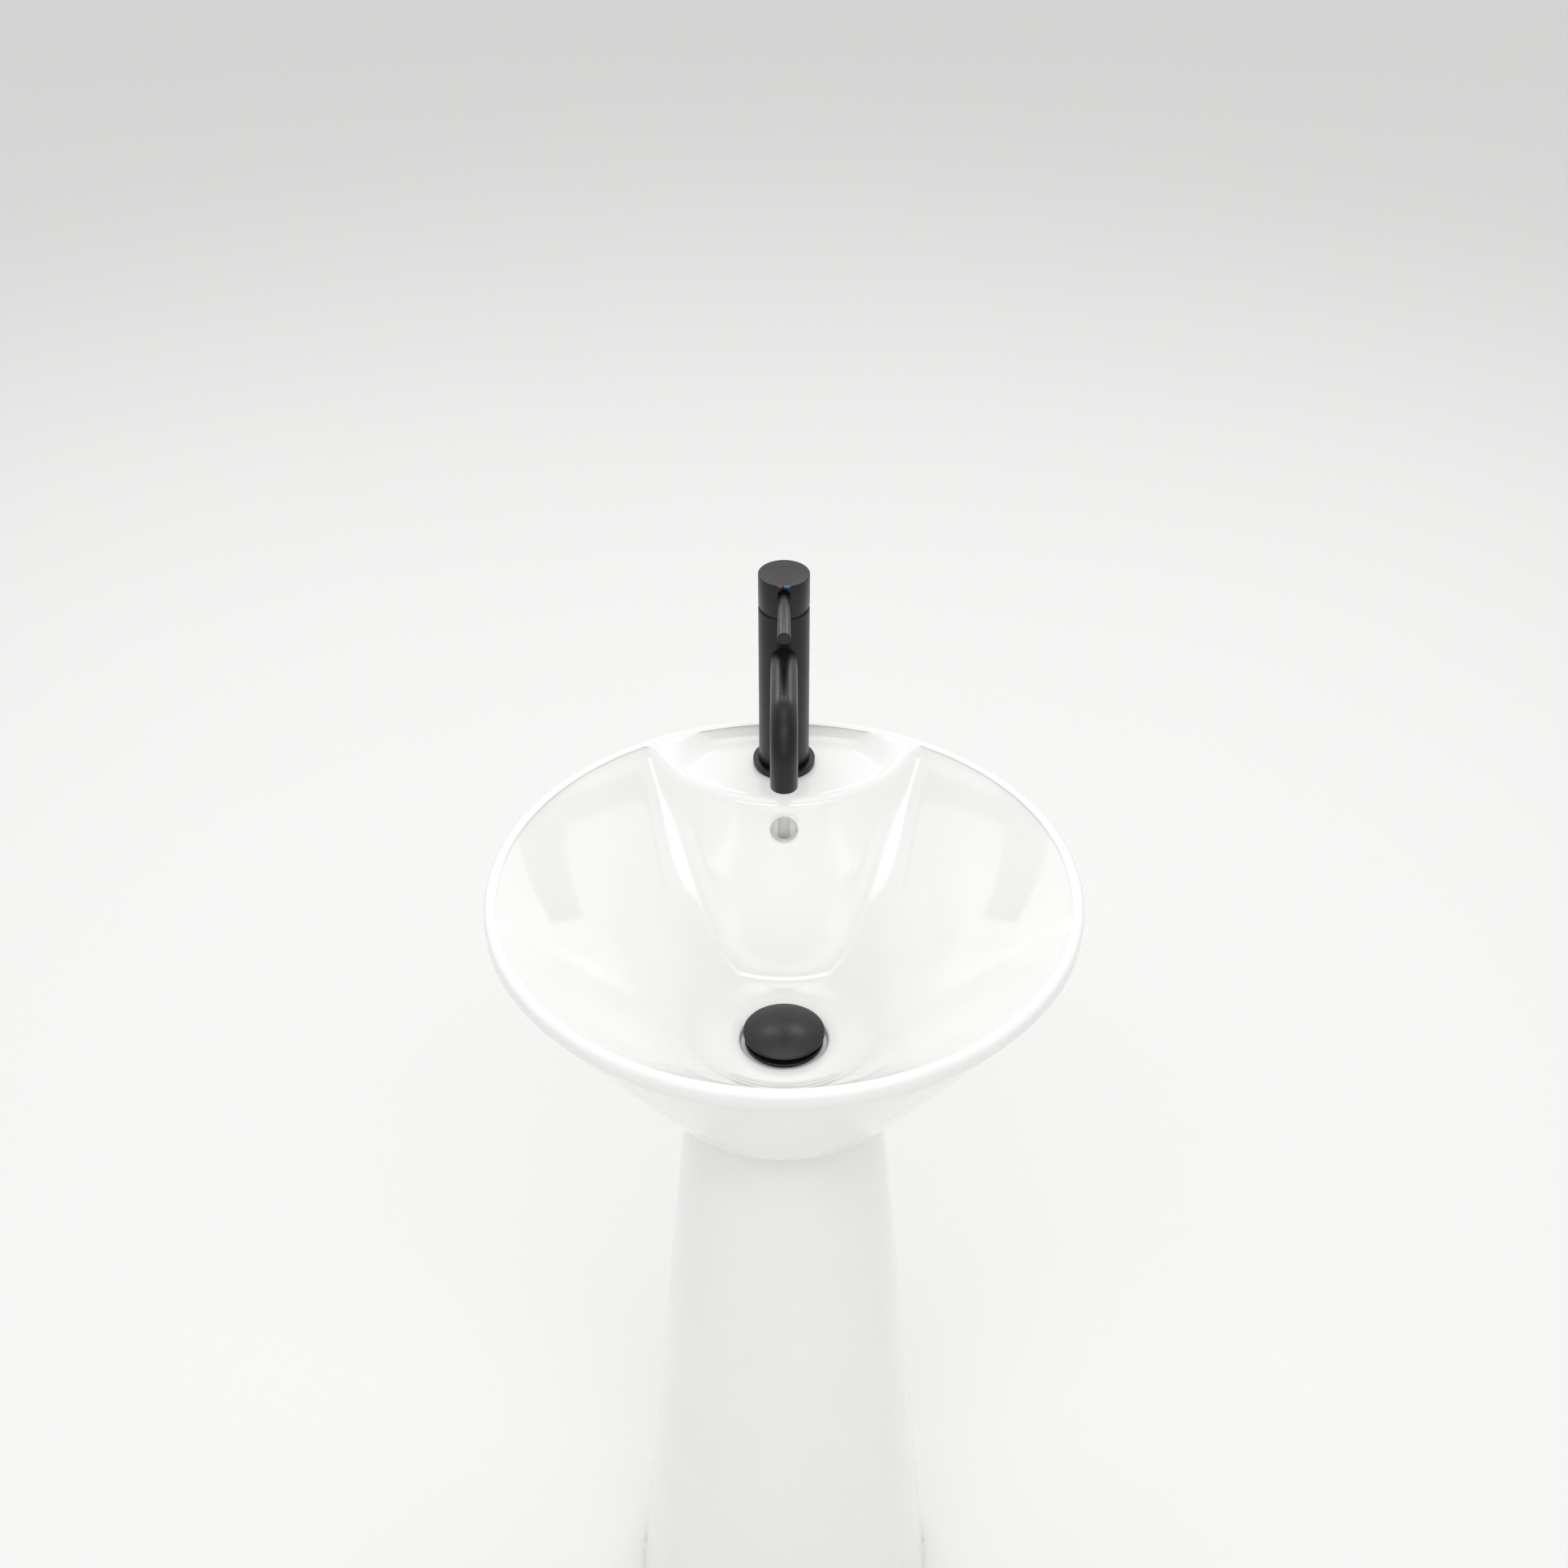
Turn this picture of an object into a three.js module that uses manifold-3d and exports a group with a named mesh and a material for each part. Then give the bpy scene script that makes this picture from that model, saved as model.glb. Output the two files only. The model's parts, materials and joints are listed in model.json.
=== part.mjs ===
// Pedestal washbasin: a round cone-shaped ceramic basin on a tapered ceramic pedestal, with a tall
// single-lever mixer tap, a push-open waste and a bottle trap.
// Millimetres, +Z up. The origin is on the floor, below the centre of the bowl. -Y is the front.

import * as THREE from 'three';
import { mergeVertices } from 'three/addons/utils/BufferGeometryUtils.js';
import Module from 'manifold-3d';

const wasm = await Module();
wasm.setup();

// ---------------------------------------------------------------- driving dimensions

const GAP = 0.3; // clearance between pieces that touch
const CERAMIC_FACETS = 48;
const METAL_FACETS = 20;
const SMALL_FACETS = 12;
const OVERCUT = 2; // how far a cutter runs past the face that it opens

// Basin: a skirt and a bowl that meet in a rounded rim
const RIM = { top: 850, radius: 235, round: 5.75, steps: 5 };
const SKIRT = { edgeRadius: 109.3, edgeZ: 659, topZ: 838, bulge: 2.2, wall: 11, steps: 4 };
const BOWL = {
  lipRadius: 36,
  lipZ: 690,
  floorTilt: 8, // degrees, up to the knee
  wallTilt: 43.6, // degrees, from the knee up to the rim
  kneeStart: 50,
  kneeRadius: 50,
  wall: 9,
};
const DECK = { z: 838, thickness: 10 };

// Tongue: the apron that falls from the tap deck to the floor of the bowl
const TONGUE = {
  frontY: 127, // front edge of the deck, on the centre plane
  halfWidth: 112,
  footZ: 692,
  backY: 232,
  lean: 0.2823, // how fast the front comes forward at the deck
  sweep: 0.001025, // and how much faster with each millimetre down
  radius: 120, // plan radius of the deck's front edge
  flatDrop: 110, // drop below the deck at which the front has turned flat
  wall: 11,
};

const OVERFLOW = { z: 814, radius: 11.25, headRadius: 15, headBackY: 147 };
const OVERFLOW_DUCT = { radius: 5.5, ribRadius: 9.5, steps: 16 };
// the overflow duct's middle line as [y, z], from behind the tongue down to the waste
const OVERFLOW_ROUTE = [
  [136, 815],
  [131, 790],
  [121, 762],
  [108, 735],
  [95, 709],
  [80, 692],
  [64, 682],
  [45, 674],
  [32, 669],
];
const OVERFLOW_INLET = { y: 18, z: 664 };
const TAP_HOLE = { y: 184, radius: 17.5 };
const SEATING = { z: 672, inner: 60, outer: 76, innerTop: 689, outerTop: 697 };
const WASTE = { recessZ: 686, holeRadius: 23, bossRadius: 34, bossZ: 648 };
const WASTE_GROOVE = { radius: 27, bottomZ: 658, topZ: 674 }; // joins the overflow duct to the waste's slots
const SERVICE_OPENING = { halfWidth: 70, bottomZ: 650, topZ: 808 };

// Pedestal
const PEDESTAL = { footRadius: 139.8, topZ: 668, taper: 0.0923, wall: 12 };
const PIPE_SLOT = { halfWidth: 50, topZ: 600 };
const FOOT_FIXING = { z: 25, plate: 2.8, faceX: 122.5, toeX: 92, halfWidth: 15, height: 42, floorHole: 3.5 };
const FOOT_SCREW = { radius: 2.5, tipX: 113.5, headRadius: 5, headX: 131.3, headTopX: 134, pilot: 2.8 };
const FOOT_SCREW_HOLE = { radius: 3.2, sinking: 6.8, sinkingX: 131, outerX: 150 };
const SCREW_CAP = { radius: 6.2, baseX: 134.4, rim: 2.6, top: 4.6 };

// Tap, measured from the deck and the tap's own axis
const TAP = { radius: 21, bottom: 6.8, top: 155.5, socketRadius: 15.3, socketTop: 18 };
const FLANGE = { radius: 26.2, top: 6.5 };
const SHANK = { radius: 15, bore: 12, bottom: -48 };
const INLET = { x: 6.2, y: 3, radius: 4.5, bore: 3, bottom: -60, passage: 3.2 };
const CLAMP_RUBBER = { radius: 22, bottom: -2.2 };
const CLAMP_WASHER = { radius: 21, top: -2.5, bottom: -4 };
const CLAMP_NUT = { acrossCorners: 40, top: -4.3, bottom: -14 };
const CAVITY = { radius: 15, floor: 130 };
const SPOUT = { z: 117.2, radius: 11, bore: 7, straightEnd: -87.7, bend: 31, outletZ: 61.9, spigot: 9 };
const AERATOR = { seatRadius: 9.6, depth: 13 };

// Handle, measured from its tilting axis
const PIVOT_Z = 143.5;
const DOME_RADIUS = 21;
const CAP = { radius: 21, inner: 18, ceiling: 26, top: 43.8, chamfer: 0.6, frontGapZ: 13.5, rearGapZ: 20.6 };
const STEM = { halfX: 2.3, halfY: 3, bottom: -4.5, top: 37.5 };
const LEVER = { z: 34.5, rootY: -18.3, tipY: -83, rootRadius: 4.5, tipRadius: 5.2 };
const LEVER_STUB = { radius: 2.5, length: 8.4 };
const REAR_SCREW = { z: 32, radius: 3, recess: 5 };
const MARK = { height: 1.5, depth: 1.8 };
const HOT = { x: -3.1, width: 3.5 };
const COLD = { x: 2.6, width: 4.9 };

// Push-open waste, measured from the recess in the bowl
const FLANGE_TOP = 4.3;
const TUBE = { outer: 21, inner: 18, bottom: -76 };
const DOME = { radius: 33.7, edgeZ: 10.2, crownZ: 18.6 };
const STEM_COLLAR = -17.7;
const CLICK_FLOOR = -31;

// Bottle trap
const DRAIN_PIPE = 16; // outer radius of the tail and of the outlet pipe
const TRAP = { z: 510, radius: 30, top: 535, bottom: 474, neck: 20, neckTop: 548, armEndY: 62 };
const TRAP_BORE = { radius: 25, arm: 15 };
const CUP = { radius: 32, bottom: 424, thread: 28.3, overlap: 12 };
const SLIP_NUT = { radius: 25, height: 15, lip: 3, grips: 6, gripRadius: 2.2 };
const OUTLET_END = 233;

// ---------------------------------------------------------------- finishes

function finish(color, roughness, metalness) {
  return new THREE.MeshStandardMaterial({ color, roughness, metalness });
}

const GLAZE = finish('#f1f1ef', 0.08, 0);
const BLACK_COAT = finish('#262626', 0.42, 0);
const PLUG_BLACK = finish('#3b3b3b', 0.5, 0.2);
const BRASS = finish('#b9975b', 0.35, 1);
const STEEL = finish('#b4b6b8', 0.35, 1);
const CHROME = finish('#d6d8da', 0.1, 1);
const RUBBER = finish('#1d1d1d', 0.8, 0);
const WHITE_PLASTIC = finish('#e9e9e6', 0.4, 0);
const GREY_PLASTIC = finish('#8d9093', 0.45, 0);
const RED = finish('#c3262c', 0.4, 0);
const BLUE = finish('#2355a8', 0.4, 0);

// ---------------------------------------------------------------- shapes

// A closed solid that can be cut, from any closed three.js geometry.
function solid(geometry) {
  const bare = geometry.clone();
  bare.deleteAttribute('normal');
  bare.deleteAttribute('uv');
  const merged = mergeVertices(bare, 1e-4);
  const corners = merged.index.array;
  const kept = [];
  for (let i = 0; i < corners.length; i += 3) {
    const [a, b, c] = [corners[i], corners[i + 1], corners[i + 2]];
    if (a !== b && b !== c && c !== a) kept.push(a, b, c);
  }
  return new wasm.Manifold(new wasm.Mesh({
    numProp: 3,
    vertProperties: new Float32Array(merged.attributes.position.array),
    triVerts: new Uint32Array(kept),
  }));
}

const join = (first, ...others) => others.reduce((whole, other) => whole.add(other), first);
const cut = (first, ...others) => others.reduce((whole, other) => whole.subtract(other), first);

function mesh(name, shape, material) {
  const result = shape.getMesh();
  const geometry = new THREE.BufferGeometry();
  geometry.setAttribute('position', new THREE.BufferAttribute(result.vertProperties, 3));
  geometry.setIndex(new THREE.BufferAttribute(result.triVerts, 1));
  geometry.computeVertexNormals();
  const node = new THREE.Mesh(geometry, material);
  node.name = name;
  return node;
}

// Turns an outline of [radius, z] points about the Z axis. The outline runs anticlockwise with the
// axis on its left, and either starts and ends on the axis or is a ring, which is closed here.
function revolve(outline, facets) {
  const points = outline.map(([radius, z]) => new THREE.Vector2(radius, z));
  const touchesAxis = outline[0][0] === 0;
  if (!touchesAxis) points.push(points[0].clone());
  return solid(new THREE.LatheGeometry(points, facets).rotateX(Math.PI / 2));
}

function rod(radius, bottom, top, { x = 0, y = 0, facets = METAL_FACETS } = {}) {
  const shape = new THREE.CylinderGeometry(radius, radius, top - bottom, facets);
  shape.rotateX(Math.PI / 2);
  shape.translate(x, y, (bottom + top) / 2);
  return solid(shape);
}

function rodAlongY(radius, from, to, { x = 0, z = 0, facets = METAL_FACETS } = {}) {
  const shape = new THREE.CylinderGeometry(radius, radius, to - from, facets);
  shape.translate(x, (from + to) / 2, z);
  return solid(shape);
}

function rodAlongX(radius, from, to, { y = 0, z = 0, facets = SMALL_FACETS } = {}) {
  const shape = new THREE.CylinderGeometry(radius, radius, to - from, facets);
  shape.rotateZ(Math.PI / 2);
  shape.translate((from + to) / 2, y, z);
  return solid(shape);
}

function box([x0, x1], [y0, y1], [z0, z1]) {
  const shape = new THREE.BoxGeometry(x1 - x0, y1 - y0, z1 - z0);
  shape.translate((x0 + x1) / 2, (y0 + y1) / 2, (z0 + z1) / 2);
  return solid(shape);
}

function ring(inner, outer, bottom, top, facets = METAL_FACETS) {
  return revolve([[inner, bottom], [outer, bottom], [outer, top], [inner, top]], facets);
}

function hexagon(acrossCorners, bottom, top) {
  return rod(acrossCorners / 2, bottom, top, { facets: 6 });
}

function roundTube(radius, path, steps, facets) {
  const section = new THREE.Shape();
  section.absarc(0, 0, radius, 0, 2 * Math.PI);
  // an arc is drawn with two facets to each curve segment
  const options = { extrudePath: path, steps, curveSegments: facets / 2, bevelEnabled: false };
  return solid(new THREE.ExtrudeGeometry(section, options));
}

// ---------------------------------------------------------------- basin

const rimCentre = { r: RIM.radius - RIM.round, z: RIM.top - RIM.round };

function skirtRadius(z) {
  const t = (z - SKIRT.edgeZ) / (SKIRT.topZ - SKIRT.edgeZ);
  return SKIRT.edgeRadius + (RIM.radius - SKIRT.edgeRadius) * t + SKIRT.bulge * Math.sin(Math.PI * t);
}

function skirtOutline(inset, top) {
  const points = [];
  for (let i = 0; i <= SKIRT.steps; i += 1) {
    const z = SKIRT.edgeZ + (top - SKIRT.edgeZ) * i / SKIRT.steps;
    points.push([skirtRadius(z) - inset, z]);
  }
  return points;
}

function rimOutline() {
  const points = [];
  for (let i = 0; i <= RIM.steps; i += 1) {
    const angle = Math.PI * i / RIM.steps;
    points.push([rimCentre.r + RIM.round * Math.cos(angle), rimCentre.z + RIM.round * Math.sin(angle)]);
  }
  return points;
}

// A place on the knee between the bowl's floor and its wall, where the surface has the given tilt in
// degrees, moved into the ceramic by a depth.
function kneePoint(tilt, depth = 0) {
  const { lipRadius, lipZ, floorTilt, kneeStart, kneeRadius } = BOWL;
  const [angle, first] = [THREE.MathUtils.degToRad(tilt), THREE.MathUtils.degToRad(floorTilt)];
  const kneeZ = lipZ + (kneeStart - lipRadius) * Math.tan(first);
  return [
    kneeStart + kneeRadius * (Math.sin(angle) - Math.sin(first)) + depth * Math.sin(angle),
    kneeZ + kneeRadius * (Math.cos(first) - Math.cos(angle)) - depth * Math.cos(angle),
  ];
}

const kneeTilts = [BOWL.floorTilt, (BOWL.floorTilt + BOWL.wallTilt) / 2, BOWL.wallTilt];

// The skirt, rim and bowl as one turned body, still solid between the bowl and the skirt.
function turnedBasin() {
  return revolve([
    [0, SKIRT.edgeZ],
    ...skirtOutline(0, SKIRT.topZ),
    ...rimOutline(),
    ...kneeTilts.map((tilt) => kneePoint(tilt)).reverse(),
    [BOWL.lipRadius, BOWL.lipZ],
    [BOWL.lipRadius, WASTE.recessZ],
    [0, WASTE.recessZ],
  ], CERAMIC_FACETS);
}

// The space inside the bowl, with its floor and wall moved into the ceramic by a depth.
function bowlSpace(depth) {
  const wallTilt = THREE.MathUtils.degToRad(BOWL.wallTilt);
  return revolve([
    [0, BOWL.lipZ - depth],
    [BOWL.lipRadius, BOWL.lipZ - depth],
    ...kneeTilts.map((tilt) => kneePoint(tilt, depth)),
    [rimCentre.r - RIM.round + depth / Math.sin(wallTilt), rimCentre.z],
    [0, rimCentre.z],
  ], CERAMIC_FACETS);
}

function tongueFront(z) {
  const drop = DECK.z - z;
  return TONGUE.frontY - TONGUE.lean * drop - TONGUE.sweep * drop * drop;
}

// How far the front has curved back at a distance x from the centre plane.
function tongueSag(x, z) {
  const bend = Math.max(1 - ((DECK.z - z) / TONGUE.flatDrop) ** 2, 0.02) / TONGUE.radius;
  return (1 - Math.sqrt(1 - (x * bend) ** 2)) / bend;
}

function tongueBlock(inset, top) {
  const [columns, rows] = [14, 7];
  const width = 2 * (TONGUE.halfWidth - inset);
  const block = new THREE.BoxGeometry(width, 1, top - TONGUE.footZ, columns, 1, rows);
  block.translate(0, 0, (top + TONGUE.footZ) / 2);
  const corner = block.attributes.position;
  for (let i = 0; i < corner.count; i += 1) {
    const [x, z] = [corner.getX(i), corner.getZ(i)];
    const front = tongueFront(z) + tongueSag(x, z) + inset;
    corner.setY(i, corner.getY(i) < 0 ? front : TONGUE.backY);
  }
  return solid(block);
}

function overflowPath(route) {
  return new THREE.CatmullRomCurve3(route.map(([y, z]) => new THREE.Vector3(0, y, z)));
}

// The space inside the skirt, up to the underside of the deck.
function skirtSpace(wall) {
  return revolve([
    [0, SKIRT.edgeZ - OVERCUT],
    [SKIRT.edgeRadius - wall, SKIRT.edgeZ - OVERCUT],
    ...skirtOutline(wall, DECK.z - DECK.thickness),
    [0, DECK.z - DECK.thickness],
  ], CERAMIC_FACETS);
}

function basin() {
  const skirtInside = skirtSpace(SKIRT.wall);
  const tongue = tongueBlock(0, DECK.z).intersect(bowlSpace(OVERCUT));
  const tongueInside = tongueBlock(TONGUE.wall, DECK.z - DECK.thickness + OVERCUT);
  const hollow = skirtInside.subtract(bowlSpace(BOWL.wall).subtract(tongueInside));

  const seatingRib = revolve([
    [SEATING.inner, SEATING.z],
    [SEATING.outer, SEATING.z],
    [SEATING.outer, SEATING.outerTop],
    [SEATING.inner, SEATING.innerTop],
  ], CERAMIC_FACETS);
  const wasteBoss = rod(WASTE.bossRadius, WASTE.bossZ, WASTE.recessZ - 1);
  const { radius: ductRadius, ribRadius, steps } = OVERFLOW_DUCT;
  const overflowRib = roundTube(ribRadius, overflowPath(OVERFLOW_ROUTE), steps, SMALL_FACETS);
  const { radius: overflowRadius, headRadius, headBackY, z: overflowZ } = OVERFLOW;
  const overflowFront = tongueFront(overflowZ);
  const overflowHead = rodAlongY(headRadius, overflowFront + 3, headBackY, { z: overflowZ });
  const ductRoute = [...OVERFLOW_ROUTE, [OVERFLOW_INLET.y, OVERFLOW_INLET.z]];

  const serviceBox = box(
    [-SERVICE_OPENING.halfWidth, SERVICE_OPENING.halfWidth],
    [SKIRT.edgeRadius / 2, RIM.radius],
    [SERVICE_OPENING.bottomZ, SERVICE_OPENING.topZ],
  );
  const serviceOpening = serviceBox.subtract(skirtSpace(SKIRT.wall + OVERCUT));
  const shell = cut(join(turnedBasin(), tongue), hollow, serviceOpening);
  return cut(
    join(shell, seatingRib, wasteBoss, overflowRib, overflowHead),
    rod(WASTE.holeRadius, WASTE.bossZ - OVERCUT, WASTE.recessZ + OVERCUT),
    ring(WASTE.holeRadius - OVERCUT, WASTE_GROOVE.radius, WASTE_GROOVE.bottomZ, WASTE_GROOVE.topZ),
    roundTube(ductRadius, overflowPath(ductRoute), steps, SMALL_FACETS),
    rodAlongY(overflowRadius, overflowFront - 15, headBackY - 10, { z: overflowZ }),
    rod(TAP_HOLE.radius, DECK.z - DECK.thickness - OVERCUT, DECK.z + OVERCUT, { y: TAP_HOLE.y }),
  );
}

// ---------------------------------------------------------------- pedestal

const pedestalRadius = (z) => PEDESTAL.footRadius - PEDESTAL.taper * z;

function pedestal() {
  const top = PEDESTAL.topZ;
  const body = revolve([
    [pedestalRadius(0) - PEDESTAL.wall, 0],
    [pedestalRadius(0), 0],
    [pedestalRadius(top), top],
    [pedestalRadius(top) - PEDESTAL.wall, top],
  ], CERAMIC_FACETS);
  const slot = box(
    [-PIPE_SLOT.halfWidth, PIPE_SLOT.halfWidth],
    [0, PEDESTAL.footRadius + OVERCUT],
    [-OVERCUT, PIPE_SLOT.topZ],
  );
  const { radius, sinking, sinkingX, outerX } = FOOT_SCREW_HOLE;
  const screwHole = rodAlongX(radius, -outerX, outerX, { z: FOOT_FIXING.z });
  const sinkings = [-1, 1].map((side) => {
    const ends = [sinkingX * side, outerX * side].sort((a, b) => a - b);
    return rodAlongX(sinking, ...ends, { z: FOOT_FIXING.z });
  });
  return cut(body, slot, screwHole, ...sinkings);
}

function seatingGasket() {
  const [bottom, top] = [PEDESTAL.topZ + GAP, SEATING.z - GAP];
  return ring(pedestalRadius(bottom) - PEDESTAL.wall + 1, SEATING.outer, bottom, top);
}

// Built for the +X side; the other side is turned half a turn about Z.
function footFixing(side) {
  const { z, plate, faceX, toeX, halfWidth, height, floorHole } = FOOT_FIXING;
  const group = new THREE.Group();
  const bracket = cut(
    join(
      box([faceX - plate, faceX], [-halfWidth, halfWidth], [0, height]),
      box([toeX, faceX], [-halfWidth, halfWidth], [0, plate]),
    ),
    rodAlongX(FOOT_SCREW.pilot, faceX - plate - OVERCUT, faceX + OVERCUT, { z }),
    rod(floorHole, -OVERCUT, plate + OVERCUT, { x: (toeX + faceX) / 2, facets: SMALL_FACETS }),
  );
  const screw = join(
    rodAlongX(FOOT_SCREW.radius, FOOT_SCREW.tipX, FOOT_SCREW.headX + 1, { z }),
    rodAlongX(FOOT_SCREW.headRadius, FOOT_SCREW.headX, FOOT_SCREW.headTopX, { z }),
  );
  const { radius, baseX, rim, top } = SCREW_CAP;
  const coverOutline = [[0, 0], [radius, 0], [radius, rim], [radius - 1.6, top - 0.6], [0, top]];
  const coverMesh = mesh(`screw_cap_${side}`, revolve(coverOutline, SMALL_FACETS), WHITE_PLASTIC);
  coverMesh.rotation.y = Math.PI / 2;
  coverMesh.position.set(baseX, 0, z);
  group.add(mesh(`floor_bracket_${side}`, bracket, STEEL));
  group.add(mesh(`side_screw_${side}`, screw, STEEL));
  group.add(coverMesh);
  group.rotation.z = side === 'left' ? Math.PI : 0;
  return group;
}

// ---------------------------------------------------------------- tap

function spoutPath() {
  const { z, straightEnd, bend, outletZ } = SPOUT;
  const path = new THREE.CurvePath();
  const bendCentre = new THREE.Vector3(0, straightEnd, z - bend);
  const corners = [];
  for (let i = 0; i <= 8; i += 1) {
    const angle = (Math.PI / 2) * i / 8;
    const arm = new THREE.Vector3(0, -Math.sin(angle), Math.cos(angle));
    corners.push(bendCentre.clone().addScaledVector(arm, bend));
  }
  const stations = [new THREE.Vector3(0, -10, z), ...corners];
  stations.push(new THREE.Vector3(0, straightEnd - bend, outletZ));
  for (let i = 1; i < stations.length; i += 1) {
    path.add(new THREE.LineCurve3(stations[i - 1], stations[i]));
  }
  return path;
}

function spoutTube() {
  const outlet = { x: 0, y: SPOUT.straightEnd - SPOUT.bend };
  const outside = roundTube(SPOUT.radius, spoutPath(), 20, 20);
  const bodyClearance = rod(TAP.radius + GAP, 80, 150);
  const spigot = rodAlongY(SPOUT.spigot, -24, -13, { z: SPOUT.z });
  const aeratorSeat = rod(AERATOR.seatRadius, SPOUT.outletZ - OVERCUT, SPOUT.outletZ + AERATOR.depth, outlet);
  const bore = roundTube(SPOUT.bore, spoutPath(), 20, 12);
  return cut(join(cut(outside, bodyClearance), spigot), bore, aeratorSeat);
}

function aeratorInsert() {
  const holes = [];
  for (let i = 0; i < 6; i += 1) {
    const angle = Math.PI * i / 3;
    const place = { x: 4 * Math.cos(angle), y: 4 * Math.sin(angle), facets: 6 };
    holes.push(rod(1.1, SPOUT.outletZ, SPOUT.outletZ + 14, place));
  }
  return cut(rod(7.2, SPOUT.outletZ + 2.1, SPOUT.outletZ + 11), ...holes);
}

function tapBody() {
  const spoutPort = rodAlongY(SPOUT.spigot + GAP, -30, -6, { z: SPOUT.z });
  const supplies = [-1, 1].map((side) => {
    const place = { x: side * INLET.x, y: INLET.y, facets: SMALL_FACETS };
    return rod(INLET.passage, TAP.bottom + OVERCUT, CAVITY.floor + OVERCUT, place);
  });
  return cut(
    revolve([
      [0, TAP.bottom],
      [TAP.radius - 0.4, TAP.bottom],
      [TAP.radius, TAP.bottom + 0.4],
      [TAP.radius, TAP.top - 0.4],
      [TAP.radius - 0.4, TAP.top],
      [0, TAP.top],
    ], METAL_FACETS),
    rod(TAP.socketRadius, TAP.bottom - OVERCUT, TAP.socketTop),
    rod(CAVITY.radius, CAVITY.floor, TAP.top + OVERCUT),
    rod(4.5, 108, 135, { y: -6, facets: SMALL_FACETS }),
    spoutPort,
    ...supplies,
  );
}

function baseFlange() {
  return revolve([
    [TAP.socketRadius, 2],
    [FLANGE.radius, 2],
    [FLANGE.radius, FLANGE.top - 0.8],
    [FLANGE.radius - 0.8, FLANGE.top],
    [TAP.socketRadius, FLANGE.top],
  ], METAL_FACETS);
}

function cartridgeHousing() {
  const ports = [-1, 1].map((side) => {
    const place = { x: side * INLET.x, y: INLET.y, facets: SMALL_FACETS };
    return rod(2.6, CAVITY.floor - OVERCUT, 140, place);
  });
  return cut(
    rod(CAVITY.radius - GAP, CAVITY.floor + GAP, 147),
    rod(9.3, 136, 150),
    rod(3.2, 125, 140, { y: -6, facets: SMALL_FACETS }),
    ...ports,
  );
}

function cartridgeCarrier() {
  return cut(
    rod(9, 136.3, 146.7),
    box([-2.6, 2.6], [-10, 10], [138, 150]),
    rodAlongX(1.5, -10, 10, { z: PIVOT_Z }),
  );
}

function trimDome() {
  const arc = (radius, from, to) => {
    const points = [];
    for (let i = 0; i <= 4; i += 1) {
      const across = from + (to - from) * i / 4;
      points.push([across, PIVOT_Z + Math.sqrt(radius * radius - across * across)]);
    }
    return points;
  };
  const base = TAP.top + GAP;
  return revolve([
    [15, base],
    [20.2, base],
    [20.2, base + 0.7],
    ...arc(DOME_RADIUS, 16.6, 10.5),
    ...arc(DOME_RADIUS - 1.5, 9.8, 14.6),
  ], METAL_FACETS);
}

function capBlank() {
  const { radius, top, chamfer } = CAP;
  return revolve([[0, 10], [radius, 10], [radius, top - chamfer], [radius - chamfer, top], [0, top]], 36);
}

function handleCap() {
  const { radius, inner, ceiling, top, frontGapZ, rearGapZ } = CAP;
  const slope = new THREE.BoxGeometry(60, 80, 40);
  slope.translate(0, 0, -20);
  slope.rotateX(Math.atan2(rearGapZ - frontGapZ, 2 * radius));
  slope.translate(0, 0, (frontGapZ + rearGapZ) / 2);
  const pockets = [HOT, COLD].map((place) => markBlock(place, GAP, OVERCUT));
  return cut(
    capBlank(),
    solid(slope),
    rod(inner, 0, ceiling),
    box([-STEM.halfX - GAP, STEM.halfX + GAP], [-STEM.halfY - GAP, STEM.halfY + GAP], [20, STEM.top + GAP]),
    rodAlongY(5.4, -radius - OVERCUT, LEVER.rootY + GAP, { z: LEVER.z, facets: 20 }),
    rodAlongY(LEVER_STUB.radius + GAP, -25, -9.6, { z: LEVER.z, facets: SMALL_FACETS }),
    rodAlongY(REAR_SCREW.radius + GAP, STEM.halfY, 16, { z: REAR_SCREW.z, facets: SMALL_FACETS }),
    rodAlongY(REAR_SCREW.recess, 14.5, radius + OVERCUT, { z: REAR_SCREW.z, facets: 20 }),
    ...pockets,
  );
}

// A block at the front of the cap's top edge: grown by a clearance, and run out past the cap.
function markBlock({ x, width }, clearance, overrun) {
  const half = width / 2 + clearance;
  return box(
    [x - half, x + half],
    [-CAP.radius - overrun, MARK.depth - CAP.radius + clearance],
    [CAP.top - MARK.height - clearance, CAP.top + overrun],
  );
}

const mark = (place) => markBlock(place, 0, 0).intersect(capBlank());

function leverPin() {
  const length = LEVER.rootY - LEVER.tipY;
  return revolve([
    [0, -LEVER_STUB.length],
    [LEVER_STUB.radius, -LEVER_STUB.length],
    [LEVER_STUB.radius, 0],
    [LEVER.rootRadius, 0],
    [LEVER.tipRadius, length - 0.4],
    [LEVER.tipRadius - 0.4, length],
    [0, length],
  ], 20);
}

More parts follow.
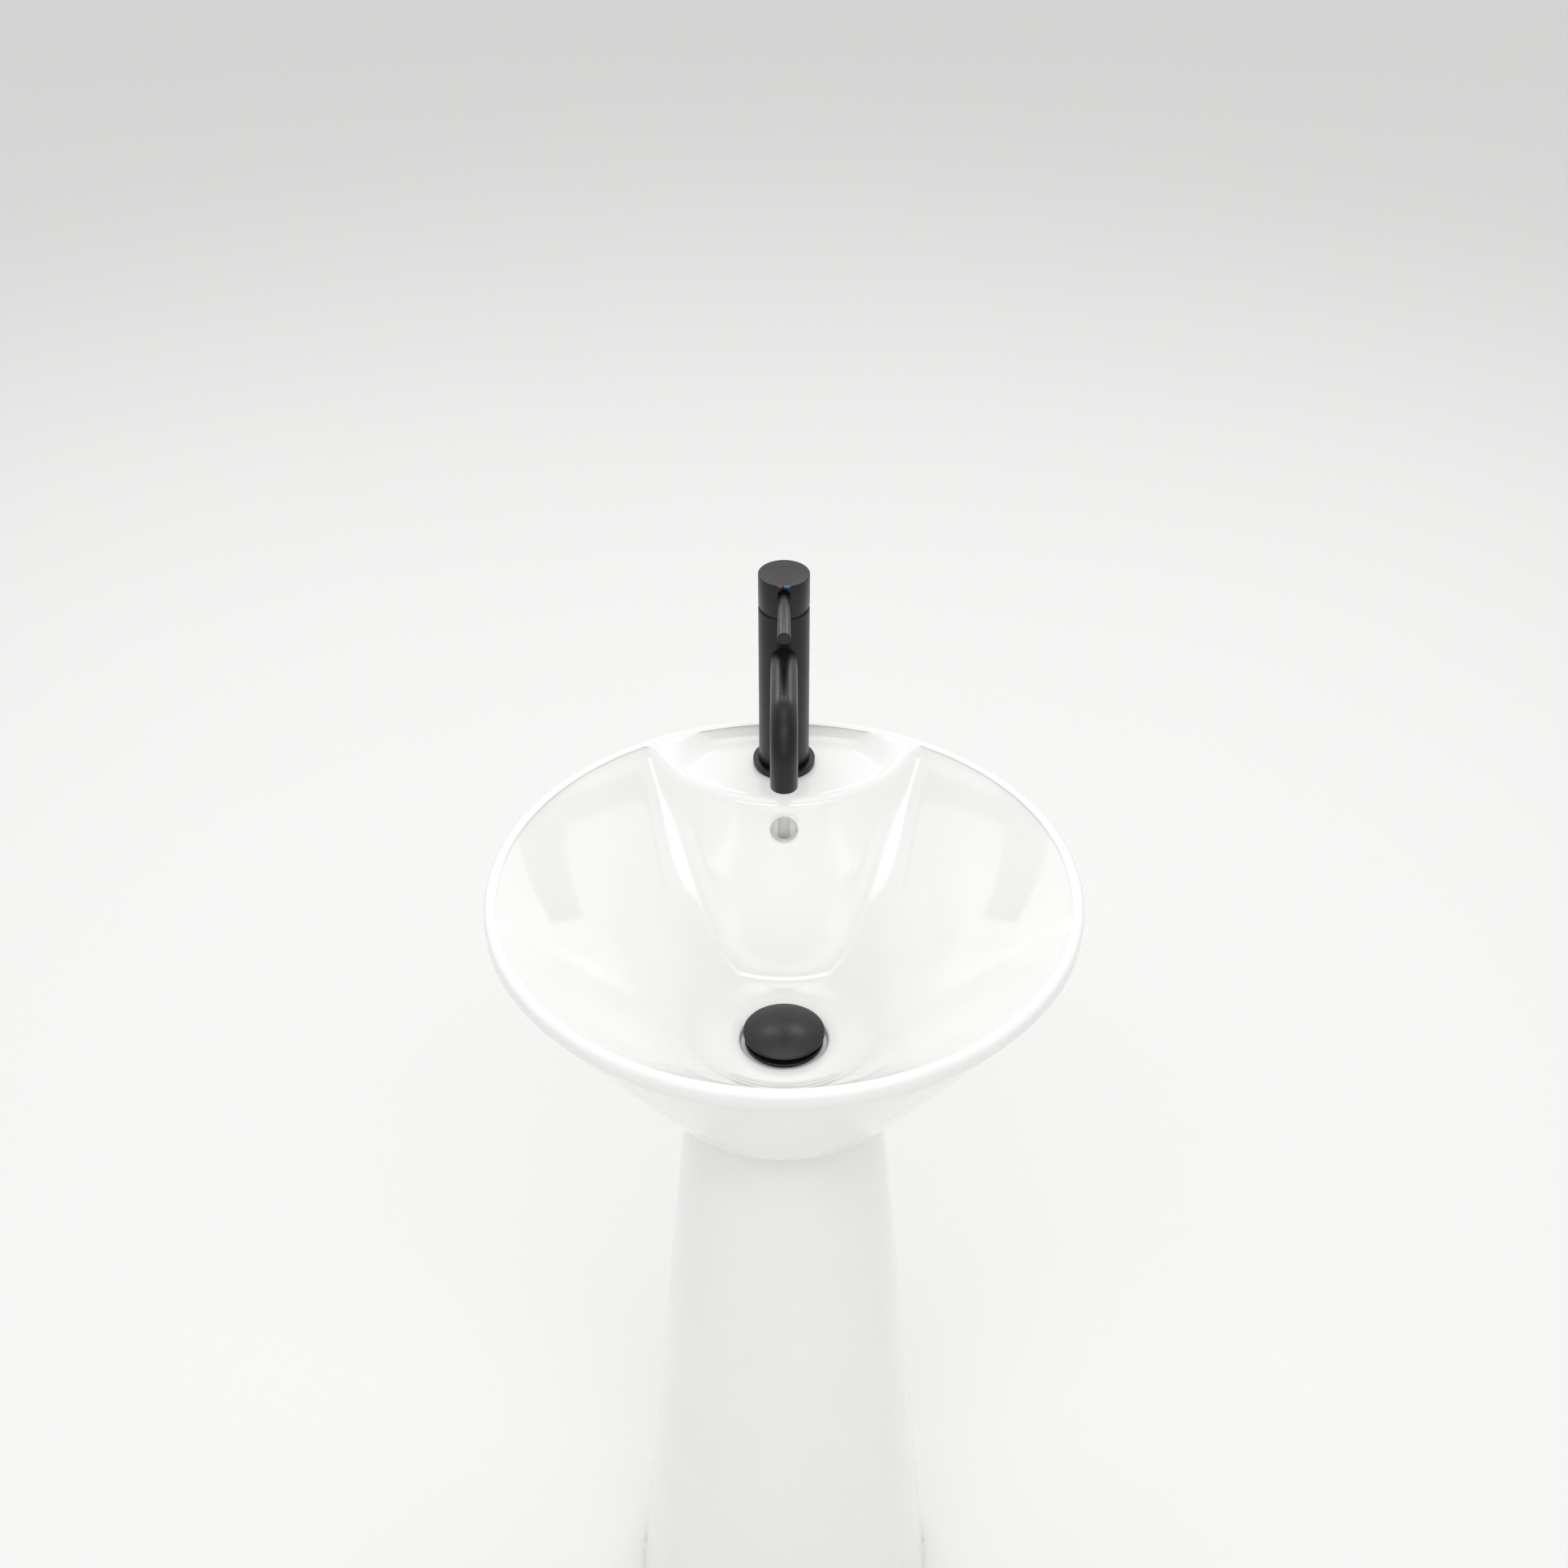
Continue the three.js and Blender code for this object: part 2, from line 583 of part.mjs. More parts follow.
function handle() {
  const group = new THREE.Group();
  const stem = cut(
    box([-STEM.halfX, STEM.halfX], [-STEM.halfY, STEM.halfY], [STEM.bottom, STEM.top]),
    rodAlongX(1.5, -5, 5),
  );
  const lever = mesh('lever_pin', leverPin(), BLACK_COAT);
  lever.rotation.x = Math.PI / 2;
  lever.position.set(0, LEVER.rootY, LEVER.z);
  group.add(mesh('handle_stem', stem, BRASS));
  group.add(mesh('handle_cap', handleCap(), BLACK_COAT));
  group.add(lever);
  const place = { z: REAR_SCREW.z, facets: SMALL_FACETS };
  group.add(mesh('handle_grub_screw', rodAlongY(REAR_SCREW.radius, STEM.halfY + GAP, 13.5, place), STEEL));
  group.add(mesh('handle_screw_plug', rodAlongY(REAR_SCREW.recess - GAP, 14.8, 19.6, place), BLACK_COAT));
  group.add(mesh('hot_mark', mark(HOT), RED));
  group.add(mesh('cold_mark', mark(COLD), BLUE));
  group.position.z = PIVOT_Z;
  return group;
}

function tap() {
  const group = new THREE.Group();
  const outletY = SPOUT.straightEnd - SPOUT.bend;
  const threadHole = SHANK.radius + GAP;
  group.add(mesh('tap_base_gasket', ring(threadHole, FLANGE.radius - 0.6, GAP, 1.7), RUBBER));
  group.add(mesh('tap_base_flange', baseFlange(), BLACK_COAT));
  group.add(mesh('tap_body', tapBody(), BLACK_COAT));
  group.add(mesh('tap_spout', spoutTube(), BLACK_COAT));

  const housing = mesh('aerator_housing', revolve([
    [6.4, 0],
    [AERATOR.seatRadius - GAP, 0],
    [AERATOR.seatRadius - GAP, AERATOR.depth - 0.8],
    [7.6, AERATOR.depth - 0.8],
    [7.6, 1.2],
    [6.4, 1.2],
  ], METAL_FACETS), BLACK_COAT);
  housing.position.set(0, outletY, SPOUT.outletZ + 0.5);
  group.add(housing);
  const insert = mesh('aerator_insert', aeratorInsert(), GREY_PLASTIC);
  insert.position.y = outletY;
  group.add(insert);

  group.add(mesh('cartridge_housing', cartridgeHousing(), WHITE_PLASTIC));
  group.add(mesh('cartridge_carrier', cartridgeCarrier(), GREY_PLASTIC));
  group.add(mesh('cartridge_pivot_pin', rodAlongX(1.2, -8.2, 8.2, { z: PIVOT_Z }), STEEL));
  group.add(mesh('cartridge_nut', ring(9.6, CAVITY.radius - GAP, 147.3, 154.5), BRASS));
  group.add(mesh('tap_trim_dome', trimDome(), BLACK_COAT));
  group.add(handle());

  group.add(mesh('tap_shank', ring(SHANK.bore, SHANK.radius, SHANK.bottom, TAP.socketTop - GAP), BRASS));
  for (const [name, side] of [['hot', -1], ['cold', 1]]) {
    const tube = ring(INLET.bore, INLET.radius, INLET.bottom, TAP.socketTop - GAP, 14);
    const nipple = mesh(`inlet_nipple_${name}`, tube, BRASS);
    nipple.position.set(side * INLET.x, INLET.y, 0);
    group.add(nipple);
  }
  const clamp = new THREE.Group();
  clamp.position.z = -DECK.thickness;
  const { radius: washerRadius, bottom: washerBottom, top: washerTop } = CLAMP_WASHER;
  const { acrossCorners, bottom: nutBottom, top: nutTop } = CLAMP_NUT;
  const nutBore = rod(threadHole, nutBottom - OVERCUT, nutTop + OVERCUT);
  const rubber = ring(threadHole, CLAMP_RUBBER.radius, CLAMP_RUBBER.bottom, -GAP);
  clamp.add(mesh('tap_clamp_rubber', rubber, RUBBER));
  clamp.add(mesh('tap_clamp_washer', ring(threadHole, washerRadius, washerBottom, washerTop), STEEL));
  clamp.add(mesh('tap_clamp_nut', cut(hexagon(acrossCorners, nutBottom, nutTop), nutBore), BRASS));
  group.add(clamp);
  group.position.set(0, TAP_HOLE.y, DECK.z);
  return group;
}

// ---------------------------------------------------------------- waste

function drainBody() {
  const body = revolve([
    [TUBE.inner, TUBE.bottom],
    [TUBE.outer, TUBE.bottom],
    [TUBE.outer, 2],
    [32.5, 2],
    [32.5, FLANGE_TOP - 0.8],
    [31.6, FLANGE_TOP],
    [26, FLANGE_TOP],
    [TUBE.inner, 0],
  ], 36);
  const overflowSlots = [
    box([-30, 30], [-7, 7], [-26, -14]),
    box([-7, 7], [-30, 30], [-26, -14]),
  ];
  const spokes = [0, 1, 2].map((i) => {
    const spoke = new THREE.BoxGeometry(12, 3, 5);
    spoke.translate(14, 0, -31.5);
    spoke.rotateZ(2 * Math.PI * i / 3 + Math.PI / 6);
    return solid(spoke);
  });
  return join(cut(body, ...overflowSlots), ring(8.3, 10.5, -34, -29), ...spokes);
}

function clickHousing() {
  return revolve([
    [3.2, CLICK_FLOOR - 3],
    [8, CLICK_FLOOR - 3],
    [8, -28.6],
    [9.6, -28.6],
    [9.6, -26],
    [8, -26],
    [8, -4],
    [5.6, -4],
    [5.6, CLICK_FLOOR],
    [3.2, CLICK_FLOOR],
  ], 20);
}

function plugDome() {
  const ceiling = DOME.edgeZ + 1.8;
  return revolve([
    [3.4, 2.5],
    [6.4, 2.5],
    [6.4, ceiling],
    [31.2, ceiling],
    [31.2, DOME.edgeZ + 0.1],
    [DOME.radius - 1, DOME.edgeZ],
    [DOME.radius, DOME.edgeZ + 1],
    [DOME.radius - 1.4, DOME.edgeZ + 2.6],
    [26, DOME.edgeZ + 5.2],
    [16, DOME.edgeZ + 7.3],
    [0, DOME.crownZ],
    [0, DOME.edgeZ + 4],
    [3.4, DOME.edgeZ + 4],
  ], 36);
}

// A helix of wire between the housing's floor and the stem's collar.
function spring() {
  const [turns, radius, bottom, top] = [4, 4.3, CLICK_FLOOR + 0.9, STEM_COLLAR - 0.9];
  const points = [];
  for (let i = 0; i <= turns * 12; i += 1) {
    const angle = 2 * Math.PI * i / 12;
    const z = bottom + (top - bottom) * i / (turns * 12);
    points.push(new THREE.Vector3(radius * Math.cos(angle), radius * Math.sin(angle), z));
  }
  return roundTube(0.45, new THREE.CatmullRomCurve3(points), turns * 14, 6);
}

function plugStem() {
  return join(
    rod(2.6, CLICK_FLOOR - 2, STEM_COLLAR + 1, { facets: 16 }),
    rod(5.2, STEM_COLLAR, STEM_COLLAR + 2, { facets: 20 }),
    rod(3, STEM_COLLAR, DOME.edgeZ + 3.7, { facets: 16 }),
  );
}

function waste() {
  const group = new THREE.Group();
  const threadHole = TUBE.outer + GAP;
  const under = WASTE.bossZ - WASTE.recessZ;
  group.add(mesh('waste_upper_gasket', ring(threadHole, 31, GAP, 1.7), RUBBER));
  group.add(mesh('waste_body', drainBody(), PLUG_BLACK));
  const tapered = revolve([
    [threadHole, under - 7],
    [28, under - 7],
    [33, under - 3],
    [33, under - GAP],
    [threadHole, under - GAP],
  ], METAL_FACETS);
  group.add(mesh('waste_lower_gasket', tapered, RUBBER));
  group.add(mesh('waste_washer', ring(threadHole, 30, under - 8.8, under - 7.3), WHITE_PLASTIC));
  const nut = cut(hexagon(68, under - 20, under - 9.1), rod(threadHole, under - 22, under));
  group.add(mesh('waste_back_nut', nut, BRASS));

  group.add(mesh('click_housing', clickHousing(), WHITE_PLASTIC));
  group.add(mesh('click_spring', spring(), STEEL));
  group.add(mesh('plug_stem', plugStem(), BRASS));
  group.add(mesh('plug_dome', plugDome(), PLUG_BLACK));
  group.add(mesh('plug_seal', ring(23.5, 30.5, DOME.edgeZ - 0.2, DOME.edgeZ + 1.5), RUBBER));
  group.position.z = WASTE.recessZ;
  return group;
}

// ---------------------------------------------------------------- trap

// A slip nut grips a pipe: a wide thread below, a lip that fits the pipe above.
function slipNut(radius, thread, height) {
  const { lip, gripRadius } = SLIP_NUT;
  const body = revolve([
    [thread + GAP, 0],
    [radius, 0],
    [radius, height],
    [DRAIN_PIPE + GAP, height],
    [DRAIN_PIPE + GAP, height - lip],
    [thread + GAP, height - lip],
  ], METAL_FACETS);
  const grips = [];
  for (let i = 0; i < SLIP_NUT.grips; i += 1) {
    const angle = 2 * Math.PI * i / SLIP_NUT.grips;
    const place = { x: (radius + 1) * Math.cos(angle), y: (radius + 1) * Math.sin(angle), facets: 8 };
    grips.push(rod(gripRadius, -OVERCUT, height + OVERCUT, place));
  }
  return cut(body, ...grips);
}

function trapBody() {
  const { z, radius, top, bottom, neck, neckTop, armEndY } = TRAP;
  const outside = join(
    revolve([
      [0, bottom],
      [CUP.thread - GAP, bottom],
      [CUP.thread - GAP, bottom + CUP.overlap + 1],
      [radius, bottom + CUP.overlap + 3],
      [radius, top - 7],
      [radius - 8, top],
      [neck, top],
      [neck, neckTop],
      [0, neckTop],
    ], METAL_FACETS),
    rodAlongY(neck, 0, armEndY, { z }),
  );
  return cut(
    outside,
    rod(TRAP_BORE.radius, bottom - OVERCUT, top - 11),
    rod(DRAIN_PIPE + GAP, z, neckTop + OVERCUT),
    rodAlongY(TRAP_BORE.arm, 5, armEndY + OVERCUT, { z }),
  );
}

function trap() {
  const group = new THREE.Group();
  const tubeEnd = WASTE.recessZ + TUBE.bottom;
  group.add(mesh('tail_washer', ring(14.7, 20.6, tubeEnd - 2, tubeEnd - GAP), RUBBER));
  const tail = revolve([
    [14.5, 448],
    [DRAIN_PIPE, 448],
    [DRAIN_PIPE, tubeEnd - 4],
    [20.6, tubeEnd - 4],
    [20.6, tubeEnd - 2.3],
    [14.5, tubeEnd - 2.3],
  ], METAL_FACETS);
  group.add(mesh('tail_pipe', tail, CHROME));
  const tailNutHeight = SLIP_NUT.height + 1;
  const tailNut = mesh('tail_nut', slipNut(SLIP_NUT.radius + 0.5, TUBE.outer, tailNutHeight), CHROME);
  tailNut.rotation.x = Math.PI;
  tailNut.position.z = tubeEnd - 4 - GAP - SLIP_NUT.lip + tailNutHeight;
  group.add(tailNut);

  group.add(mesh('trap_body', trapBody(), CHROME));
  const coneWasher = () => ring(DRAIN_PIPE + GAP, TRAP.neck - 0.4, GAP, 3);
  const nutSetBack = SLIP_NUT.height - SLIP_NUT.lip - 3 - GAP;
  const inletWasher = mesh('trap_inlet_washer', coneWasher(), RUBBER);
  inletWasher.position.z = TRAP.neckTop;
  group.add(inletWasher);
  const inletNut = mesh('trap_inlet_nut', slipNut(SLIP_NUT.radius, TRAP.neck, SLIP_NUT.height), CHROME);
  inletNut.position.z = TRAP.neckTop - nutSetBack;
  group.add(inletNut);

  group.add(mesh('trap_cup_gasket', ring(23, 27.6, TRAP.bottom - 2.2, TRAP.bottom - GAP), RUBBER));
  const cup = revolve([
    [0, CUP.bottom],
    [CUP.radius - 10, CUP.bottom],
    [CUP.radius - 3, CUP.bottom + 6],
    [CUP.radius, CUP.bottom + 12],
    [CUP.radius, TRAP.bottom + CUP.overlap],
    [CUP.thread, TRAP.bottom + CUP.overlap],
    [CUP.thread, TRAP.bottom - 2.5],
    [TRAP_BORE.radius, TRAP.bottom - 2.5],
    [TRAP_BORE.radius, CUP.bottom + 12],
    [TRAP_BORE.radius - 7, CUP.bottom + 4],
    [0, CUP.bottom + 4],
  ], METAL_FACETS);
  group.add(mesh('trap_cup', cup, CHROME));

  const outlet = new THREE.Group();
  outlet.rotation.x = -Math.PI / 2;
  outlet.position.set(0, TRAP.armEndY, TRAP.z);
  outlet.add(mesh('outlet_washer', coneWasher(), RUBBER));
  const outletNut = mesh('outlet_nut', slipNut(SLIP_NUT.radius, TRAP.neck, SLIP_NUT.height), CHROME);
  outletNut.position.z = -nutSetBack;
  outlet.add(outletNut);
  const pipeLength = OUTLET_END - TRAP.armEndY;
  outlet.add(mesh('outlet_pipe', ring(DRAIN_PIPE - 1.5, DRAIN_PIPE, 1, pipeLength), CHROME));
  group.add(outlet);
  return group;
}

// ---------------------------------------------------------------- assembly

const pedestalSink = new THREE.Group();
pedestalSink.add(mesh('basin', basin(), GLAZE));
pedestalSink.add(mesh('pedestal', pedestal(), GLAZE));
pedestalSink.add(mesh('seating_gasket', seatingGasket(), RUBBER));
pedestalSink.add(footFixing('left'));
pedestalSink.add(footFixing('right'));
pedestalSink.add(tap());
pedestalSink.add(waste());
pedestalSink.add(trap());

export default pedestalSink;
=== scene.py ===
"""Looks for a pedestal washbasin: glazed basin and pedestal, black lever tap, push-open waste and trap.

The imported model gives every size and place. Outlines are in millimetres, finished meshes in metres.
-Y is the front, +Z is up, and the origin is on the floor below the centre of the bowl.
"""

import json
import logging
import math
from dataclasses import dataclass, field
from enum import Enum
from typing import Sequence

import bmesh
import bpy
import numpy as np
from mathutils import Matrix, Vector


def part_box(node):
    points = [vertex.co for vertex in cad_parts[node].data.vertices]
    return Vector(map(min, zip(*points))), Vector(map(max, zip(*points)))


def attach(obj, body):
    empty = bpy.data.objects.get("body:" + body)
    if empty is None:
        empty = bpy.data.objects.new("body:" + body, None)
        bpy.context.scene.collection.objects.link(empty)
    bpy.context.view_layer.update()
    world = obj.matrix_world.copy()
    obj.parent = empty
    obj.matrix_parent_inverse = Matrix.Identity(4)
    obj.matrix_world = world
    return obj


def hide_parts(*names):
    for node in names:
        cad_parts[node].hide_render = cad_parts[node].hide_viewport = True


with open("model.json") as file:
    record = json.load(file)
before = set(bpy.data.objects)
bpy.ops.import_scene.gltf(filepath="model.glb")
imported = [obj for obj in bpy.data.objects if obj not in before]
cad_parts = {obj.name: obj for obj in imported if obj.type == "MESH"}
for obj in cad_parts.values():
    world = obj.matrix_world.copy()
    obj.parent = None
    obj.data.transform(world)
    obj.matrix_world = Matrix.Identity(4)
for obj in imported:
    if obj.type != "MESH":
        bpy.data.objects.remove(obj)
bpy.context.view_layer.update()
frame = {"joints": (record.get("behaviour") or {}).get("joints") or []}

MM = 0.001
TAU = 2 * math.pi
SHARP_EDGE = math.radians(34)
SLIVER = 0.001 * MM
Outline = list[tuple[float, float]]

logging.basicConfig(level=logging.INFO, format="%(name)s: %(message)s")
log = logging.getLogger("sink")


# ------------------------------------------------------------------ places and outlines


def corners_mm(node: str) -> tuple[Vector, Vector]:
    """Lowest and highest corner of a CAD node, in millimetres.

    Args:
        node: name of the CAD node.

    Returns:
        The two corners.
    """
    low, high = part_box(node)
    return low / MM, high / MM


def middle_mm(node: str) -> Vector:
    """The middle of a CAD node's box, in millimetres."""
    low, high = corners_mm(node)
    return (low + high) / 2


def arc(centre: tuple[float, float], radius: float, start: float, end: float, steps: int) -> Outline:
    """Points on an arc, ends included.

    Args:
        centre: the arc's centre.
        radius: its radius.
        start: first angle in degrees.
        end: last angle in degrees.
        steps: number of chords.

    Returns:
        The points in order.
    """
    angles = np.radians(np.linspace(start, end, steps + 1))
    return [(centre[0] + radius * math.cos(a), centre[1] + radius * math.sin(a)) for a in angles]


def rounded(corners: Sequence[tuple[float, ...]], steps: int = 5, closed: bool = True) -> Outline:
    """Rounds the corners of an outline.

    Args:
        corners: (r, z) for a sharp corner or (r, z, radius) for a round one.
        steps: chords in each round corner.
        closed: whether the last corner joins the first.

    Returns:
        The outline with each round corner as an arc.
    """
    points: Outline = []
    count = len(corners)
    for i, corner in enumerate(corners):
        here = Vector(corner[:2])
        radius = corner[2] if len(corner) > 2 else 0.0
        if radius == 0 or (not closed and i in (0, count - 1)):
            points.append(tuple(here))
            continue
        back = Vector(corners[i - 1][:2]) - here
        ahead = Vector(corners[(i + 1) % count][:2]) - here
        reach = 0.49 * min(back.length, ahead.length)
        back.normalize()
        ahead.normalize()
        half = back.angle(ahead) / 2
        tangent = min(radius / math.tan(half), reach)
        radius = tangent * math.tan(half)
        centre = here + (back + ahead).normalized() * (radius / math.sin(half))
        first, last = here + back * tangent - centre, here + ahead * tangent - centre
        start = math.atan2(first.y, first.x)
        sweep = (math.atan2(last.y, last.x) - start + math.pi) % TAU - math.pi
        points += arc(tuple(centre), radius, math.degrees(start), math.degrees(start + sweep), steps)
    return points


# ------------------------------------------------------------------ meshes


def as_object(name: str, bm: bmesh.types.BMesh, matrix: Matrix | None = None) -> bpy.types.Object:
    """Makes an object of a bmesh in millimetres, scaled to metres, smooth, with its place in its mesh.

    Args:
        name: the piece's name.
        bm: the bmesh, which is freed.
        matrix: where the piece goes, in millimetres.

    Returns:
        The object, at the origin.
    """
    bmesh.ops.transform(bm, matrix=Matrix.Scale(MM, 4) @ (matrix or Matrix()), verts=bm.verts)
    mesh = bpy.data.meshes.new(name)
    bm.to_mesh(mesh)
    bm.free()
    smooth(mesh)
    piece = bpy.data.objects.new(name, mesh)
    bpy.context.scene.collection.objects.link(piece)
    return piece


def smooth(mesh: bpy.types.Mesh) -> None:
    """Shades a mesh smooth between its sharp edges."""
    mesh.polygons.foreach_set("use_smooth", [True] * len(mesh.polygons))
    mesh.set_sharp_from_angle(angle=SHARP_EDGE)
    mesh.update()


def spin_outline(outline: Outline, steps: int) -> bmesh.types.BMesh:
    """Turns an outline of (radius, height) a full turn about Z.

    Args:
        outline: a ring, or an open line that starts and ends on the axis.
        steps: facets in the turn.

    Returns:
        A closed bmesh whose faces point outwards.
    """
    bm = bmesh.new()
    verts = [bm.verts.new((r, 0, z)) for r, z in outline]
    edges = [bm.edges.new(pair) for pair in zip(verts, verts[1:])]
    if outline[0][0] > 0:
        edges.append(bm.edges.new((verts[-1], verts[0])))
    bmesh.ops.spin(
        bm, geom=verts + edges, cent=(0, 0, 0), axis=(0, 0, 1), dvec=(0, 0, 0),
        angle=TAU, steps=steps, use_merge=True, use_duplicate=False,
    )
    bmesh.ops.remove_doubles(bm, verts=bm.verts, dist=1e-4)
    bmesh.ops.recalc_face_normals(bm, faces=bm.faces)
    return bm


def turned(name: str, outline: Outline, steps: int = 72, matrix: Matrix | None = None) -> bpy.types.Object:
    """A turned piece.

    Args:
        name: the piece's name.
        outline: its section, in millimetres.
        steps: facets in the turn.
        matrix: where it goes, in millimetres.

    Returns:
        The object.
    """
    return as_object(name, spin_outline(outline, steps), matrix)


def prism(
    name: str, outline: Outline, depth: float, matrix: Matrix | None = None, edge: float = 0.0
) -> bpy.types.Object:
    """A flat outline in XY, extruded along Z.

    Args:
        name: the piece's name.
        outline: its section, anticlockwise.
        depth: its length along Z.
        matrix: where it goes, in millimetres.
        edge: bevel on the edges of both end faces.

    Returns:
        The object.
    """
    bm = bmesh.new()
    face = bm.faces.new([bm.verts.new((x, y, 0)) for x, y in outline])
    moved = bmesh.ops.extrude_face_region(bm, geom=[face], use_keep_orig=True)
    tops = [item for item in moved["geom"] if isinstance(item, bmesh.types.BMVert)]
    bmesh.ops.translate(bm, verts=tops, vec=(0, 0, depth))
    bmesh.ops.recalc_face_normals(bm, faces=bm.faces)
    if edge > 0:
        ends = [f for f in bm.faces if abs(f.normal.z) > 0.9]
        rims = [e for e in bm.edges if any(f in ends for f in e.link_faces)]
        bmesh.ops.bevel(
            bm, geom=rims, offset=edge, affect="EDGES", segments=3, profile=0.5, material=-1
        )
    return as_object(name, bm, matrix)


def tube_along(name: str, points: Sequence[Vector], radius: float, sides: int = 24) -> bpy.types.Object:
    """A round bar with flat ends along a smooth line.

    Args:
        name: the piece's name.
        points: the line, in millimetres.
        radius: the bar's radius.
        sides: facets round it.

    Returns:
        The object.
    """
    curve = bpy.data.curves.new(name, "CURVE")
    curve.dimensions = "3D"
    curve.bevel_depth = radius * MM
    curve.bevel_resolution = sides // 4 - 1
    curve.use_fill_caps = True
    spline = curve.splines.new("NURBS")
    spline.points.add(len(points) - 1)
    for target, point in zip(spline.points, points):
        target.co = (*(Vector(point) * MM), 1)
    spline.use_endpoint_u = True
    spline.order_u = 4
    spline.resolution_u = 6
    holder = bpy.data.objects.new(name, curve)
    bpy.context.scene.collection.objects.link(holder)
    bpy.context.view_layer.update()
    mesh = bpy.data.meshes.new_from_object(holder.evaluated_get(bpy.context.evaluated_depsgraph_get()))
    bpy.data.objects.remove(holder)
    bm = bmesh.new()
    bm.from_mesh(mesh)
    bmesh.ops.remove_doubles(bm, verts=bm.verts, dist=1e-7)
    bmesh.ops.recalc_face_normals(bm, faces=bm.faces)
    bm.to_mesh(mesh)
    bm.free()
    smooth(mesh)
    piece = bpy.data.objects.new(name, mesh)
    bpy.context.scene.collection.objects.link(piece)
    return piece


class Carve(Enum):
    """What a boolean does to a piece."""

    CUT = "DIFFERENCE"
    JOIN = "UNION"
    KEEP = "INTERSECT"


def carved(piece: bpy.types.Object, how: Carve, *tools: bpy.types.Object) -> bpy.types.Object:
    """Cuts a piece with others, joins them to it or keeps what they share. The tools are used up.

    Args:
        piece: the piece that changes.
        how: what the tools do.
        tools: the other solids.

    Returns:
        The same piece.
    """
    for tool in tools:
        step = piece.modifiers.new("carve", "BOOLEAN")
        step.operation = how.value
        step.solver = "MANIFOLD"
        step.object = tool
    bpy.context.view_layer.update()
    result = piece.evaluated_get(bpy.context.evaluated_depsgraph_get())
    mesh = bpy.data.meshes.new_from_object(result)
    piece.modifiers.clear()
    piece.data = mesh
    for tool in tools:
        bpy.data.objects.remove(tool)
    smooth(mesh)
    return piece


def cleaned(piece: bpy.types.Object) -> None:
    """Merges the slivers that cutting leaves in a piece's mesh, too small to see."""
    mesh = piece.data
    bm = bmesh.new()
    bm.from_mesh(mesh)
    bmesh.ops.remove_doubles(bm, verts=bm.verts, dist=SLIVER)
    bmesh.ops.dissolve_degenerate(bm, edges=bm.edges, dist=SLIVER)
    bm.to_mesh(mesh)
    bm.free()
    smooth(mesh)


def softened(piece: bpy.types.Object, width: float, segments: int = 3, angle: float = 40) -> bpy.types.Object:
    """Puts a small round on every sharp edge.

    Args:
        piece: the piece.
        width: the round's width in millimetres.
        segments: facets in the round.
        angle: edges sharper than this many degrees are rounded.

    Returns:
        The same piece.
    """
    bevel = piece.modifiers.new("edge_round", "BEVEL")
    bevel.width = width * MM
    bevel.segments = segments
    bevel.limit_method = "ANGLE"
    bevel.angle_limit = math.radians(angle)
    bevel.use_clamp_overlap = True
    bevel.harden_normals = False
    bpy.context.view_layer.update()
    mesh = bpy.data.meshes.new_from_object(piece.evaluated_get(bpy.context.evaluated_depsgraph_get()))
    piece.modifiers.clear()
    piece.data = mesh
    smooth(mesh)
    return piece


def post(radius: float, low: float, high: float, matrix: Matrix | None = None,
         steps: int = 48) -> bpy.types.Object:
    """A plain upright cylinder to cut with, in millimetres."""
    return turned("tool", [(0, low), (radius, low), (radius, high), (0, high)], steps, matrix)


def round_places(radius: float, count: int) -> list[tuple[float, float]]:
    """Places evenly spaced round a circle, starting on +X."""
    turns = [TAU * i / count for i in range(count)]
    return [(radius * math.cos(turn), radius * math.sin(turn)) for turn in turns]


def rectangle(inner: float, outer: float, low: float, high: float, edge: float) -> Outline:
    """A rectangle with its four corners equally rounded, as the section of a ring or a bar."""
    return rounded([(inner, low, edge), (outer, low, edge), (outer, high, edge), (inner, high, edge)], 3)


def at(x: float, y: float, z: float = 0.0) -> Matrix:
    """A move, in millimetres."""
    return Matrix.Translation((x, y, z))


def facing(axis: str, place: Sequence[float]) -> Matrix:
    """Turns a piece's Z to a direction and moves it.

    Args:
        axis: where +Z goes, such as "-y".
        place: where the piece's origin goes, in millimetres.

    Returns:
        The matrix.
    """
    turns = {
        "+y": Matrix.Rotation(-math.pi / 2, 4, "X"),
        "-y": Matrix.Rotation(math.pi / 2, 4, "X"),
        "+x": Matrix.Rotation(math.pi / 2, 4, "Y"),
        "-x": Matrix.Rotation(-math.pi / 2, 4, "Y"),
        "-z": Matrix.Rotation(math.pi, 4, "X"),
        "+z": Matrix(),
    }
    return Matrix.Translation(place) @ turns[axis]


# ------------------------------------------------------------------ finishes


def linear(hex_colour: str) -> tuple[float, float, float, float]:
    """An sRGB hex colour as the linear colour that shaders take."""
    channels = [int(hex_colour[i:i + 2], 16) / 255 for i in (1, 3, 5)]
    return (*(c / 12.92 if c <= 0.04045 else ((c + 0.055) / 1.055) ** 2.4 for c in channels), 1.0)


def add_node(tree: bpy.types.NodeTree, kind: str, links: dict[str, object] | None = None,
             **settings: object) -> bpy.types.Node:
    """Adds a node, sets it and links its inputs.

    Args:
        tree: the material's node tree.
        kind: the node's type name.
        links: input name to the socket that feeds it, or to a plain value.
        settings: attributes of the node.

    Returns:
        The node.
    """
    node = tree.nodes.new(kind)
    for name, value in settings.items():
        setattr(node, name, value)
    for name, value in (links or {}).items():
        if isinstance(value, bpy.types.NodeSocket):
            tree.links.new(value, node.inputs[name])
        else:
            node.inputs[name].default_value = value
    return node


